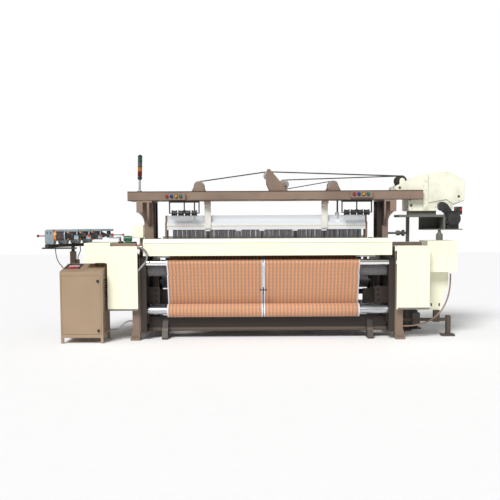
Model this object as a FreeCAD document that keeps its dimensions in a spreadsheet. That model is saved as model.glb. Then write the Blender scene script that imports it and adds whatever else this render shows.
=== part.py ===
import FreeCAD, Part
import math
import os
import re
import Sketcher

# A flexible-rapier power loom, in millimetres. X runs along the width, Y from the weaver's side to the
# back and Z up. Lengths along Y are counted from the front face of the side covers, and every finished
# piece is then moved so that the origin lies on the floor midway between the four anchored feet.

Vector = FreeCAD.Vector
doc = FreeCAD.newDocument("power_loom")
sheet = doc.addObject("Spreadsheet::Sheet", "dims")
FUNCTIONS = ("sqrt", "sin", "cos", "tan", "atan", "asin", "min", "max", "deg")
sizes = {}
nodes = []
used = set()


def size(alias, amount):
    """Keeps one driving size in the sheet, under its own alias."""
    row = len(sizes) + 1
    sheet.set("A%d" % row, alias)
    sheet.set("B%d" % row, str(amount))
    sheet.setAlias("B%d" % row, alias)
    sizes[alias] = amount


def cells(text):
    """Turns an expression in sizes into one in spreadsheet cells."""
    return re.sub(r"[A-Za-z_][A-Za-z_0-9]*",
                  lambda word: word.group(0) if word.group(0) in FUNCTIONS else "dims." + word.group(0),
                  text)


def value(text):
    return float(sheet.evalExpression(cells(text)))


def bind(thing, prop, text):
    thing.setExpression(prop, cells(text))


def unique(name):
    """A free object name, numbered where a name is used again."""
    count = 1
    free = name
    while free in used:
        count += 1
        free = "%s_%d" % (name, count)
    used.add(free)
    return free


def place(thing, x="0", y="0", z="0"):
    for axis, text in zip("xyz", (x, y, z)):
        bind(thing, ".Placement.Base." + axis, text)
    return thing


def box(name, x, y, z):
    """A block between two places along each axis."""
    block = doc.addObject("Part::Box", unique(name))
    for prop, (low, high) in zip(("Length", "Width", "Height"), (x, y, z)):
        bind(block, prop, "(%s)-(%s)" % (high, low))
    return place(block, x[0], y[0], z[0])


TURN = {"x": FreeCAD.Rotation(Vector(0, 0, 1), Vector(1, 0, 0)),
        "y": FreeCAD.Rotation(Vector(0, 0, 1), Vector(0, 1, 0)),
        "z": FreeCAD.Rotation()}


def along(axis, low, centre):
    """The place of something that starts at low on its axis, whose other two places are centre."""
    places = list(centre)
    places.insert("xyz".index(axis), low)
    return places


def rod(name, axis, centre, radius, span):
    """A round bar along an axis, between two places."""
    bar = doc.addObject("Part::Cylinder", unique(name))
    bind(bar, "Radius", radius)
    bind(bar, "Height", "(%s)-(%s)" % (span[1], span[0]))
    bar.Placement.Rotation = TURN[axis]
    return place(bar, *along(axis, span[0], centre))


def cone(name, axis, centre, radii, span):
    taper = doc.addObject("Part::Cone", unique(name))
    bind(taper, "Radius1", radii[0])
    bind(taper, "Radius2", radii[1])
    bind(taper, "Height", "(%s)-(%s)" % (span[1], span[0]))
    taper.Placement.Rotation = TURN[axis]
    return place(taper, *along(axis, span[0], centre))


def ball(name, centre, radius):
    knob = doc.addObject("Part::Sphere", unique(name))
    bind(knob, "Radius", radius)
    return place(knob, *centre)


def fuse(name, *parts):
    joined = doc.addObject("Part::MultiFuse", unique(name))
    joined.Shapes = list(parts)
    return joined


def group(name, *parts):
    """Separate solids that stay separate under one name."""
    together = doc.addObject("Part::Compound", unique(name))
    together.Links = list(parts)
    return together


def cut(name, base, *tools):
    removed = doc.addObject("Part::Cut", unique(name))
    removed.Base = base
    removed.Tool = tools[0] if len(tools) == 1 else group(name + "_tools", *tools)
    return removed


def pipe(name, axis, centre, outer, bore, span):
    return cut(name, rod(name + "_outside", axis, centre, outer, span),
               rod(name + "_bore", axis, centre, bore, ("(%s)-1" % span[0], "(%s)+1" % span[1])))


def fix(sketch, geometry, end, x, y):
    """Ties one end of a line or arc to two sizes."""
    for kind, text in (("DistanceX", x), ("DistanceY", y)):
        number = sketch.addConstraint(Sketcher.Constraint(kind, -1, 1, geometry, end, value(text)))
        bind(sketch, "Constraints[%d]" % number, text)


def draw(sketch, corners, holes=()):
    """Draws a closed outline. A corner is (x, y), or (x, y, radius) where the stretch that leaves it is
    an arc, which bulges to the left of its chord, or to the right where the radius starts with a minus."""
    count = len(corners)
    points = [Vector(value(c[0]), value(c[1]), 0) for c in corners]
    ends = []
    for number, corner in enumerate(corners):
        start, stop = points[number], points[(number + 1) % count]
        if len(corner) == 2:
            ends.append((sketch.addGeometry(Part.LineSegment(start, stop)), 1, 2))
            continue
        right = corner[2].startswith("-")
        radius_text = corner[2].lstrip("-")
        radius = value(radius_text)
        chord = stop - start
        normal = Vector(-chord.y, chord.x, 0).normalize() * (-1 if right else 1)
        depth = math.sqrt(max(radius ** 2 - chord.Length ** 2 / 4, 0))
        centre = (start + stop) * 0.5 - normal * depth
        first, last = (start, stop) if right else (stop, start)
        angles = [math.atan2((p - centre).y, (p - centre).x) for p in (first, last)]
        circle = Part.Circle(centre, Vector(0, 0, 1), radius)
        arc = sketch.addGeometry(Part.ArcOfCircle(circle, angles[0], angles[1]))
        ends.append((arc, 1, 2) if right else (arc, 2, 1))
        rule = sketch.addConstraint(Sketcher.Constraint("Radius", arc, radius))
        bind(sketch, "Constraints[%d]" % rule, radius_text)
    for number, (geometry, first, last) in enumerate(ends):
        following = ends[(number + 1) % count]
        sketch.addConstraint(Sketcher.Constraint("Coincident", geometry, last, following[0], following[1]))
        fix(sketch, geometry, first, *corners[number][:2])
    for x, y, radius in holes:
        circle = Part.Circle(Vector(value(x), value(y), 0), Vector(0, 0, 1), value(radius))
        ring = sketch.addGeometry(circle)
        rule = sketch.addConstraint(Sketcher.Constraint("Radius", ring, value(radius)))
        bind(sketch, "Constraints[%d]" % rule, radius)
        fix(sketch, ring, 3, x, y)


def flat_sketch(name, role):
    """A body with an empty sketch on one of its origin planes."""
    body = doc.addObject("PartDesign::Body", unique(name))
    plane = [feature for feature in body.Origin.OriginFeatures if feature.Role == role][0]
    sketch = body.newObject("Sketcher::SketchObject", unique(name + "_outline"))
    sketch.AttachmentSupport = [(plane, "")]
    sketch.MapMode = "FlatFace"
    return body, sketch


def plate(name, across, corners, span, holes=()):
    """An outline padded across one axis, from the first place of span to the second. The outline's own
    axes are Y and Z across x, X and Z across y, and X and Y across z."""
    body, sketch = flat_sketch(name, {"x": "YZ_Plane", "y": "XZ_Plane", "z": "XY_Plane"}[across])
    draw(sketch, corners, holes)
    pad = body.newObject("PartDesign::Pad", unique(name + "_pad"))
    pad.Profile = sketch
    bind(pad, "Length", "(%s)-(%s)" % (span[1], span[0]))
    start = {"x": (span[0], "0", "0"), "y": ("0", span[1], "0"), "z": ("0", "0", span[0])}[across]
    return place(body, *start)


def turned(name, axis, centre, corners):
    """A turned piece: corners are (place along the axis, radius), and centre is its axis's line."""
    body, sketch = flat_sketch(name, "XY_Plane")
    draw(sketch, corners)
    spin = body.newObject("PartDesign::Revolution", unique(name + "_turn"))
    spin.Profile = sketch
    spin.ReferenceAxis = (sketch, ["H_Axis"])
    spin.Angle = 360
    body.Placement.Rotation = {"x": FreeCAD.Rotation(), "y": FreeCAD.Rotation(Vector(0, 0, 1), 90),
                               "z": FreeCAD.Rotation(Vector(0, 1, 0), -90)}[axis]
    return place(body, *along(axis, "0", centre))


def frame_outline(low, high):
    """The four corners of a rectangle."""
    return [(low[0], low[1]), (high[0], low[1]), (high[0], high[1]), (low[0], high[1])]


def node(name, *parts):
    """Registers one finished sub-part, moved to the loom's own origin."""
    whole = parts[0] if len(parts) == 1 else group(name + "_pieces", *parts)
    if whole.TypeId == "PartDesign::Body" or whole.Placement.Base.Length or whole.TypeId != "Part::Compound":
        whole = group(name + "_whole", whole)
    place(whole, "0", "-foot_middle", "0")
    whole.Label = name
    nodes.append(whole)
    return whole


def keep_sizes(amounts):
    """Enters the driving sizes of one section."""
    for alias, amount in amounts.items():
        size(alias, amount)
    sheet.recompute()


def sided(text, side):
    """The same place on the left (side -1) or the right (side 1) of the loom."""
    return text if side > 0 else "-(%s)" % text


def across_side(low, high, side):
    """A stretch of X between two distances from the middle, on one side of the loom."""
    return (low, high) if side > 0 else ("-(%s)" % high, "-(%s)" % low)


# ---- side frames: cast plates with a rim, two legs and flared, anchored feet
frame_sizes = {
    "frame_in": 1205, "frame_out": 1250, "rim_in": 1180, "frame_front": 70, "frame_back": 1420,
    "frame_low": 72, "frame_top": 860, "frame_shoulder": 960, "shoulder_from": 570, "rim_wide": 42,
    "window_low": 330, "window_high": 610, "window_front": 900, "window_wide": 165, "window_gap": 205,
    "window_round": 60, "leg_out": 1318, "leg_front": 62, "leg_deep": 76, "leg_back": 1290, "leg_top": 700,
    "foot_plate": 24, "foot_out": 1336, "foot_in": 1244, "foot_flare": 30, "flare_high": 110,
    "foot_middle": 714, "anchor_radius": 9, "anchor_across": 1290, "bearing_bore_gap": 0.05,
    "shaft_low_y": 545, "shaft_low_z": 300, "main_shaft_y": 820, "main_shaft_z": 400,
    "main_shaft_radius": 28, "rocking_radius": 38, "guide_y": 90, "guide_z": 752, "take_y": 230,
    "take_z": 684, "roll_y": 150, "roll_z": 280, "roller_play": 2, "guide_radius": 30, "take_radius": 70,
    "tube_radius": 37.5, "guide_pin": 12, "take_pin": 20, "roll_pin": 14, "warp_y": 1360, "warp_z": 470,
    "warp_pin": 30, "rest_y": 1490, "rest_z": 930, "rest_radius": 60, "rest_pin": 18, "tape_y": 505,
    "tape_line": 905, "wheel_x": 1500, "tape_radius": 250, "stub_radius": 20, "stub_front": 480,
    "arm_back": 600, "arm_front": 545, "arm_high": 90, "arm_end": 1565, "stub_boss": 60,
    "guide_block_in": 1126, "guide_block_half": 17, "tape_thick": 2, "bored_in": 1072, "bored_front": 252,
    "bored_thick": 12, "bored_low": 335, "bored_high": 505, "bored_holes": 3, "bored_radius": 9,
    "bored_x": 1106, "bored_first": 362, "bored_pitch": 54, "webplate_in": 972, "webplate_front": 380,
    "webplate_low": 318, "webplate_high": 472
}
keep_sizes(frame_sizes)


def side_frame(name, side):
    edge = [("frame_front", "frame_low"), ("frame_back", "frame_low"), ("frame_back", "frame_top-140"),
            ("frame_back-90", "frame_shoulder"), ("shoulder_from", "frame_shoulder"), ("shoulder_from", "frame_top"),
            ("frame_front+60", "frame_top"), ("frame_front", "frame_top-60")]
    wall = plate("frame_wall", "x", edge, across_side("frame_in", "frame_out", side))
    windows = []
    for first in ("window_front", "window_front+window_gap"):
        windows.append(plate("window", "x", [
            (first + "+window_round", "window_low"), (first + "+window_wide-window_round", "window_low", "-window_round"),
            (first + "+window_wide", "window_low+window_round"),
            (first + "+window_wide", "window_high-window_round", "-window_round"),
            (first + "+window_wide-window_round", "window_high"), (first + "+window_round", "window_high", "-window_round"),
            (first, "window_high-window_round"), (first, "window_low+window_round", "-window_round")],
            across_side("rim_in-5", "frame_out+5", side)))
    rims = [
        box("rim_low", across_side("rim_in", "frame_in", side), ("frame_front", "frame_back"),
            ("frame_low", "frame_low+rim_wide")),
        box("rim_front", across_side("rim_in", "frame_in", side), ("frame_front", "frame_front+rim_wide"),
            ("frame_low+rim_wide", "frame_top-60")),
        box("rim_back", across_side("rim_in", "frame_in", side), ("frame_back-rim_wide", "frame_back"),
            ("frame_low+rim_wide", "frame_top-140")),
        box("rim_rib", across_side("rim_in", "frame_in", side), ("shoulder_from", "shoulder_from+rim_wide"),
            ("frame_low+rim_wide", "frame_shoulder"))]
    legs = []
    for front in ("leg_front", "leg_back"):
        legs.append(box("leg", across_side("frame_out", "leg_out", side), (front, front + "+leg_deep"),
                        ("flare_high", "leg_top")))
        spread = across_side("foot_in", "foot_out", side)
        legs.append(plate("leg_flare", "y", [
            (spread[0], "foot_plate"), (spread[1], "foot_plate"),
            (across_side("frame_out", "leg_out", side)[1], "flare_high"),
            (across_side("frame_out", "leg_out", side)[0], "flare_high")], (front, front + "+leg_deep")))
        legs.append(box("foot", spread, (front + "-foot_flare", front + "+leg_deep+foot_flare"), ("0", "foot_plate")))
    rest_arm = plate("rest_arm", "x", [
        ("frame_back-180", "frame_shoulder-120"), ("rest_y+10", "rest_z-40"), ("rest_y+40", "rest_z"),
        ("rest_y+10", "rest_z+40"), ("frame_back-180", "frame_shoulder")], across_side("frame_in", "frame_out", side))
    wheel = sided("wheel_x", side)
    wheel_z = "tape_line-tape_radius"
    drive_arm = box("drive_arm", across_side("frame_out", "arm_end", side), ("arm_front", "arm_back"),
                    (wheel_z + "-arm_high/2", wheel_z + "+arm_high/2"))
    drive_stub = [rod("drive_stub", "y", (wheel, wheel_z), "stub_radius", ("stub_front", "arm_front")),
                  rod("drive_boss", "y", (wheel, wheel_z), "stub_boss", ("tape_y+22", "arm_front"))]
    tape_guide = box("tape_guide", across_side("guide_block_in", "frame_out", side),
                     ("tape_y-guide_block_half", "tape_y+guide_block_half"), ("frame_top", "tape_line-tape_thick"))
    post = box("bored_post", across_side("bored_in", "frame_in", side), ("bored_front", "bored_front+bored_thick"),
               ("bored_low", "bored_high"))
    webplate = box("webplate", across_side("webplate_in", "frame_in", side),
                 ("webplate_front", "webplate_front+bored_thick"), ("webplate_low", "webplate_high"))
    solid = fuse(name + "_casting", wall, *rims, *legs, rest_arm, drive_arm, *drive_stub, tape_guide, post, webplate)
    anchors = [rod("anchor_hole", "z", (sided("anchor_across", side), front), "anchor_radius", ("-5", "flare_high-20"))
               for front in ("leg_front-foot_flare/2", "leg_back+leg_deep+foot_flare/2")]
    bores = [rod("rocking_bore", "x", ("shaft_low_y", "shaft_low_z"), "rocking_radius+bearing_bore_gap",
                 across_side("rim_in-5", "frame_out+5", side)),
             rod("main_shaft_bore", "x", ("main_shaft_y", "main_shaft_z"), "main_shaft_radius+bearing_bore_gap",
                 across_side("rim_in-5", "frame_out+5", side))]
    for number in range(int(sizes["bored_holes"])):
        bores.append(rod("bored_radius", "y", (sided("bored_x", side), "bored_first+%d*bored_pitch" % number),
                         "bored_radius", ("bored_front-1", "bored_front+bored_thick+1")))
    for y, z, radius in (("guide_y", "guide_z", "guide_pin"), ("take_y", "take_z", "take_pin"),
                         ("roll_y", "roll_z", "roll_pin"), ("warp_y", "warp_z", "warp_pin"),
                         ("rest_y", "rest_z", "rest_pin")):
        bores.append(rod("roller_bore", "x", (y, z), radius + "+bearing_bore_gap",
                         across_side("rim_in-5", "frame_out+5", side)))
    node(name, cut(name + "_bored", solid, *windows, *anchors, *bores))


side_frame("left_side_frame", -1)
side_frame("right_side_frame", 1)


# ---- cross members between the side frames
crossing_sizes = {
    "girt_front": 200, "girt_deep": 130, "girt_low": 70, "girt_top": 212, "girt_wall": 12,
    "girt_slot_pitch": 170, "girt_slots": 12, "girt_slot_long": 60, "girt_slot_wide": 14, "jack_x": 1010,
    "jack_wide": 56, "jack_front": 86, "jack_pad": 18, "beam_front": 140, "beam_back": 250, "beam_top": 945,
    "beam_end": 1250, "beam_wall": 9, "cloth_line": 905, "breast_bar_radius": 25, "breast_bar_y": 326,
    "bar_bracket": 1188, "rear_girt_y": 900, "rear_girt_z": 150, "rear_girt_high": 120, "rear_girt_deep": 90,
    "sheet_gap": 0.4, "lever_y": -12, "lever_pivot_x": -1215, "lever_pivot_z": 913, "lever_boss_half": 11,
    "lever_pin": 6, "lever_play": 2, "lever_stay_round": 20
}
keep_sizes(crossing_sizes)


def front_girt():
    channel = plate("girt_channel", "x", [
        ("girt_front", "girt_low"), ("girt_front+girt_deep", "girt_low"),
        ("girt_front+girt_deep", "girt_low+girt_wall"), ("girt_front+girt_wall", "girt_low+girt_wall"),
        ("girt_front+girt_wall", "girt_top-girt_wall"), ("girt_front+girt_deep", "girt_top-girt_wall"),
        ("girt_front+girt_deep", "girt_top"), ("girt_front", "girt_top")], ("-rim_in", "rim_in"))
    slots = []
    for number in range(int(sizes["girt_slots"])):
        middle = "(%d-(girt_slots-1)/2)*girt_slot_pitch" % number
        slots.append(box("girt_slot", (middle + "-girt_slot_long/2", middle + "+girt_slot_long/2"),
                         ("girt_front+girt_deep/2-girt_slot_wide/2", "girt_front+girt_deep/2+girt_slot_wide/2"),
                         ("girt_top-girt_wall-2", "girt_top+2")))
    feet = []
    for side in (-1, 1):
        width = across_side("jack_x-jack_wide/2", "jack_x+jack_wide/2", side)
        feet.append(plate("jack_foot", "x", [
            ("jack_front", "0"), ("girt_front+girt_deep/2", "0"), ("girt_front+girt_deep/2", "jack_pad"),
            ("girt_front+girt_wall", "girt_low"), ("girt_front", "girt_low"), ("girt_front", "girt_top-girt_wall"),
            ("jack_front+30", "girt_low"), ("jack_front", "jack_pad")], width))
    node("front_girt", cut("girt_slotted", channel, *slots), *feet)


def rear_girt():
    span = ("-frame_in", "frame_in")
    tube = cut("rear_tube", box("rear_outside", span, ("rear_girt_y", "rear_girt_y+rear_girt_deep"),
                                ("rear_girt_z", "rear_girt_z+rear_girt_high")),
               box("rear_inside", ("-frame_in-1", "frame_in+1"),
                   ("rear_girt_y+beam_wall", "rear_girt_y+rear_girt_deep-beam_wall"),
                   ("rear_girt_z+beam_wall", "rear_girt_z+rear_girt_high-beam_wall")))
    node("rear_girt", tube)


def breast_beam():
    tube = cut("beam_tube", box("beam_outside", ("-beam_end", "beam_end"), ("beam_front", "beam_back"),
                                ("frame_top", "beam_top")),
               box("beam_inside", ("-beam_end-1", "beam_end+1"), ("beam_front+beam_wall", "beam_back-beam_wall"),
                   ("frame_top+beam_wall", "beam_top-beam_wall")))
    bar = rod("breast_bar", "x", ("breast_bar_y", "cloth_line-breast_bar_radius"), "breast_bar_radius-sheet_gap",
              ("-bar_bracket", "bar_bracket"))
    brackets = []
    for side in (-1, 1):
        brackets.append(plate("bar_bracket", "x", [
            ("beam_back", "frame_top"), ("breast_bar_y+breast_bar_radius+8", "frame_top"),
            ("breast_bar_y+breast_bar_radius+8", "cloth_line-20"), ("breast_bar_y-10", "cloth_line-5"),
            ("beam_back", "cloth_line-5")], across_side("bar_bracket", "beam_end-4", side)))
    stay = plate("lever_stay", "x", [
        ("lever_y-lever_stay_round", "lever_pivot_z", "-lever_stay_round"),
        ("lever_y", "lever_pivot_z-lever_stay_round"),
        ("beam_front+beam_wall/2", "lever_pivot_z-lever_stay_round-10"),
        ("beam_front+beam_wall/2", "lever_pivot_z+lever_stay_round"),
        ("lever_y", "lever_pivot_z+lever_stay_round", "-lever_stay_round")],
        ("-beam_end", "lever_pivot_x-lever_boss_half-lever_play"))
    pin = rod("lever_pin", "x", ("lever_y", "lever_pivot_z"), "lever_pin",
              ("-beam_end+5", "lever_pivot_x+lever_boss_half+lever_play"))
    node("breast_beam", fuse("beam_whole", tube, stay, pin), bar, *brackets)


# ---- sheet-metal cover over the breast beam
breast_cover_sizes = {
    "cover_half": 1200, "cover_low": 824, "cover_fold": 951, "cover_top": 985, "cover_face": 22,
    "cover_lean": 18, "cover_back": 272, "cover_sheet": 3, "cover_lip": 34, "cover_foot": 80,
    "cover_feet_inner": 350, "cover_feet_outer": 1000
}
keep_sizes(breast_cover_sizes)


def breast_cover():
    profile = [("cover_face", "cover_low"), ("cover_face+cover_lip", "cover_low"),
               ("cover_face+cover_lip", "cover_low+cover_sheet"), ("cover_face+cover_sheet", "cover_low+cover_sheet"),
               ("cover_face+cover_sheet", "cover_fold-1"),
               ("cover_face+cover_lean+cover_sheet-1", "cover_top-cover_sheet"),
               ("cover_back-cover_sheet", "cover_top-cover_sheet"), ("cover_back-cover_sheet", "cover_fold+4"),
               ("cover_back", "cover_fold+4"), ("cover_back", "cover_top"), ("cover_face+cover_lean", "cover_top"),
               ("cover_face", "cover_fold")]
    shell = plate("cover_shell", "x", profile, ("-cover_half", "cover_half"))
    ends = []
    for side in (-1, 1):
        ends.append(plate("cover_end", "x", [
            ("cover_face+cover_sheet-1", "cover_low+1"), ("beam_front-4", "cover_low+1"),
            ("beam_front-4", "cover_top-1"), ("cover_face+cover_lean+1", "cover_top-1"),
            ("cover_face+cover_sheet-1", "cover_fold-1")], across_side("cover_half-cover_sheet", "cover_half", side)))
    feet = []
    for middle in ("-cover_feet_outer", "-cover_feet_inner", "cover_feet_inner", "cover_feet_outer"):
        feet.append(box("cover_foot", (middle + "-cover_foot/2", middle + "+cover_foot/2"),
                        ("beam_front+20", "beam_back-20"), ("beam_top", "cover_top-cover_sheet")))
    node("breast_cover", fuse("cover_folded", shell, *ends), *feet)


# ---- arches on the side frames and the two top channels that they carry
arch_sizes = {
    "arch_in": 1150, "arch_out": 1262, "bracket_out": 1325, "arch_flare_low": 1150, "bracket_low": 1249,
    "beam_low": 1368, "beam_high": 1464, "arch_plate": 16, "arch_front": 460, "arch_back": 800,
    "arch_web_in": 1196, "arch_web": 22, "arch_flare": 125, "arch_sweep": 190, "top_left": -1416,
    "top_right": 1600, "channel_wall": 8, "channel_flange": 60, "front_channel": 470, "back_channel": 735,
    "back_right": 1325, "rail_guide_x": 605, "rail_guide_wide": 62, "rail_guide_back": 586,
    "rail_guide_thick": 8, "rail_guide_low": 1082, "rail_guide_foot": 36
}
keep_sizes(arch_sizes)


def arch(name, side):
    flange = [("arch_in", "frame_shoulder"), ("arch_out", "frame_shoulder"), ("arch_out", "arch_flare_low", "arch_flare"),
              ("bracket_out", "bracket_low"), ("bracket_out", "beam_low"), ("arch_in", "beam_low")]
    if side < 0:
        flange = [("-" + corner[0],) + corner[1:] for corner in flange]
        flange = [(c[0], c[1], "-arch_flare") if len(c) == 3 else c for c in flange]
    front = plate("arch_flange", "y", flange, ("shoulder_from", "shoulder_from+arch_plate"))
    back = plate("arch_flange", "y", flange, ("arch_back-arch_plate", "arch_back"))
    web = plate("arch_web", "x", [
        ("shoulder_from", "frame_shoulder"), ("arch_back", "frame_shoulder"), ("arch_back", "beam_low"),
        ("arch_front", "beam_low"), ("arch_front", "bracket_low+30", "-arch_sweep"),
        ("shoulder_from", "arch_flare_low-40")], across_side("arch_web_in", "arch_web_in+arch_web", side))
    cap = box("arch_cap", across_side("arch_in", "bracket_out", side), ("arch_front", "arch_back"),
              ("beam_low-arch_plate", "beam_low"))
    bracket = box("arch_bracket", across_side("arch_out", "bracket_out", side),
                  ("arch_front", "arch_front+arch_plate"), ("bracket_low", "beam_low"))
    foot = box("arch_foot", across_side("arch_in+10", "frame_out", side), ("shoulder_from", "arch_back"),
               ("frame_shoulder", "frame_shoulder+arch_plate"))
    node(name, fuse(name + "_casting", front, back, web, cap, bracket, foot))


def channel(name, face, inward, ends):
    """A C-shaped beam whose web stands at face and whose flanges run inward (+1 or -1 along Y)."""
    sign = "+" if inward > 0 else "-"
    wall = face + sign + "channel_wall"
    tip = face + sign + "channel_flange"
    return plate(name, "x", [
        (face, "beam_low"), (tip, "beam_low"), (tip, "beam_low+channel_wall"), (wall, "beam_low+channel_wall"),
        (wall, "beam_high-channel_wall"), (tip, "beam_high-channel_wall"), (tip, "beam_high"),
        (face, "beam_high")], ends)


def top_beams():
    front = channel("front_channel", "front_channel", 1, ("top_left", "top_right"))
    back = channel("back_channel", "back_channel+channel_flange", -1, ("top_left", "back_right"))
    ties = [box("channel_tie", (left, left + "+channel_wall*2"),
                ("front_channel+channel_flange", "back_channel"), ("beam_low", "beam_high"))
            for left in ("top_left", "arch_in", "-arch_in-channel_wall*2")]
    guides = []
    for middle in ("-rail_guide_x", "rail_guide_x"):
        across = (middle + "-rail_guide_wide/2", middle + "+rail_guide_wide/2")
        behind = ("rail_guide_back-rail_guide_thick", "rail_guide_back")
        guides.append(fuse("rail_guide", box("rail_guide_face", across, behind, ("rail_guide_low", "beam_low")),
                           box("rail_guide_top", across, ("front_channel+14", "rail_guide_back"),
                               ("beam_low-rail_guide_foot", "beam_low"))))
    node("top_beams", front, back, *ties, *guides)


front_girt()
rear_girt()
breast_beam()
breast_cover()
arch("left_arch", -1)
arch("right_arch", 1)
top_beams()


# ---- sley: rocking shaft, swords, beam and race board, with the reed standing in its groove
sley_sizes = {
    "sley_half": 1120, "sley_front": 490, "sley_back": 574, "sley_low": 786, "sley_top": 846,
    "race_front": 466, "race_top": 876, "reed_y": 540, "reed_gap": 0.3, "baulk_deep": 14, "baulk_high": 20,
    "clamp_top": 870, "sword_outer": 850, "sword_inner": 300, "sword_wide": 36, "sword_foot": 64,
    "sword_head": 34, "boss_wall": 18, "tape_hook_pitch": 120, "tape_hooks": 17, "hook_wide": 10,
    "hook_high": 12, "reed_left": -985, "reed_right": 905, "reed_top": 970, "dent_thick": 5,
    "reed_gaps": 118, "reed_slot": 9, "reed_post": 16
}
keep_sizes(sley_sizes)


def sley():
    shaft = rod("rocking_shaft", "x", ("shaft_low_y", "shaft_low_z"), "rocking_radius",
                ("-frame_out-12", "frame_out+12"))
    swords = []
    for middle in ("-sword_outer", "-sword_inner", "sword_inner", "sword_outer"):
        width = (middle + "-sword_wide/2", middle + "+sword_wide/2")
        swords.append(plate("sley_sword", "x", [
            ("shaft_low_y-sword_foot/2", "shaft_low_z"), ("shaft_low_y+sword_foot/2", "shaft_low_z"),
            ("shaft_low_y+sword_head/2", "sley_low"), ("shaft_low_y-sword_head/2", "sley_low")], width))
        swords.append(rod("sword_boss", "x", ("shaft_low_y", "shaft_low_z"), "rocking_radius+boss_wall",
                          (middle + "-sword_wide", middle + "+sword_wide")))
    beam = plate("sley_section", "x", [
        ("sley_front", "sley_low"), ("sley_back", "sley_low"), ("sley_back", "clamp_top"),
        ("reed_y+baulk_deep/2+reed_gap", "clamp_top"), ("reed_y+baulk_deep/2+reed_gap", "sley_top"),
        ("reed_y-baulk_deep/2-reed_gap", "sley_top"), ("reed_y-baulk_deep/2-reed_gap", "race_top"),
        ("race_front", "race_top"), ("race_front", "sley_top")], ("-sley_half", "sley_half"))
    hooks = []
    for number in range(int(sizes["tape_hooks"])):
        middle = "(%d-(tape_hooks-1)/2)*tape_hook_pitch" % number
        hooks.append(box("tape_hook", (middle + "-hook_wide/2", middle + "+hook_wide/2"),
                         ("race_front", "race_front+hook_wide"), ("race_top", "race_top+hook_high")))
    node("sley_beam", fuse("sley_casting", shaft, *swords, beam, *hooks))


def comb(name, x, y, z, gaps, gap_wide, across="y"):
    """A wall cut by a row of upright gaps, evenly spread between its ends."""
    body, sketch = flat_sketch(name, "XZ_Plane")
    draw(sketch, frame_outline((x[0], z[0]), (x[1], z[1])))
    pad = body.newObject("PartDesign::Pad", unique(name + "_pad"))
    pad.Profile = sketch
    bind(pad, "Length", "(%s)-(%s)" % (y[1], y[0]))
    pitch = "((%s)-(%s)-2*reed_post)/%s" % (x[1], x[0], gaps)
    first = "(%s)+reed_post+(%s)/2" % (x[0], pitch)
    opening = body.newObject("Sketcher::SketchObject", unique(name + "_gap"))
    plane = [feature for feature in body.Origin.OriginFeatures if feature.Role == "XZ_Plane"][0]
    opening.AttachmentSupport = [(plane, "")]
    opening.MapMode = "FlatFace"
    draw(opening, frame_outline(("%s-(%s)/2" % (first, gap_wide), "(%s)+reed_slot/2" % z[0]),
                                ("%s+(%s)/2" % (first, gap_wide), "(%s)-reed_slot/2" % z[1])))
    doc.recompute([body, sketch, pad, opening])
    pocket = body.newObject("PartDesign::Pocket", unique(name + "_slot"))
    pocket.Profile = opening
    pocket.Type = "ThroughAll"
    pocket.Midplane = True
    row = body.newObject("PartDesign::LinearPattern", unique(name + "_row"))
    row.Originals = [pocket]
    row.Direction = (opening, ["H_Axis"])
    bind(row, "Length", "(%s)*(%s-1)" % (pitch, gaps))
    bind(row, "Occurrences", gaps)
    body.Tip = row
    return place(body, "0", y[1], "0")


def reed():
    middle = ("reed_y-dent_thick/2", "reed_y+dent_thick/2")
    deep = ("reed_y-baulk_deep/2", "reed_y+baulk_deep/2")
    width = ("reed_left", "reed_right")
    dents = comb("dents", width, middle, ("sley_top+baulk_high-1", "reed_top-baulk_high+5"), "reed_gaps", "reed_slot")
    low = box("reed_baulk", width, deep, ("sley_top", "sley_top+baulk_high"))
    cap = box("reed_cap", width, deep, ("reed_top-baulk_high+4", "reed_top"))
    node("reed", fuse("reed_wall", dents, low, cap))


# ---- heald frames, in two groups that rise in turn
heald_sizes = {
    "frame_count": 4, "first_frame_y": 600, "frame_pitch": 38, "frame_thick": 24, "frame_half": 1050,
    "stay_wide": 20, "heald_eye": 870, "rail_near": 200, "rail_high": 78, "shed_lift": 70,
    "heald_left": -970, "heald_right": 990, "heald_gaps": 40, "heald_slot": 26, "heald_thick": 2,
    "hook_block": 36, "hook_block_high": 28, "hook_thick": 10, "rail_groove": 6, "rail_wall": 3,
    "side_offset": 5, "end_sheave_x": 695, "end_sheave_z": 1518, "end_rim": 55, "upper_x": 17,
    "upper_z": 1630, "upper_rim": 42, "lower_x": 185, "lower_z": 1534, "lower_rim": 52, "groove_deep": 6,
    "groove_root": 3, "groove_half": 3.4, "cable_radius": 2.5, "cable_gap": 0.3, "sheave_thick": 14,
    "sheave_hub": 22, "pin_radius": 9, "jack_centre_x": 1400, "jack_centre_z": 1566, "jack_rim": 55,
    "jack_pin": 15, "jack_thick": 24
}
keep_sizes(heald_sizes)


def raised(number):
    """How far a heald frame stands above its low position at rest: the even ones are up."""
    return "shed_lift" if number % 2 else "0"


def frame_y(number):
    return "first_frame_y+%d*frame_pitch" % number


def running(rim):
    """The radius at which a cable's centre line runs in a sheave's groove."""
    return "(%s-groove_deep+cable_gap+cable_radius)" % rim


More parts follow.
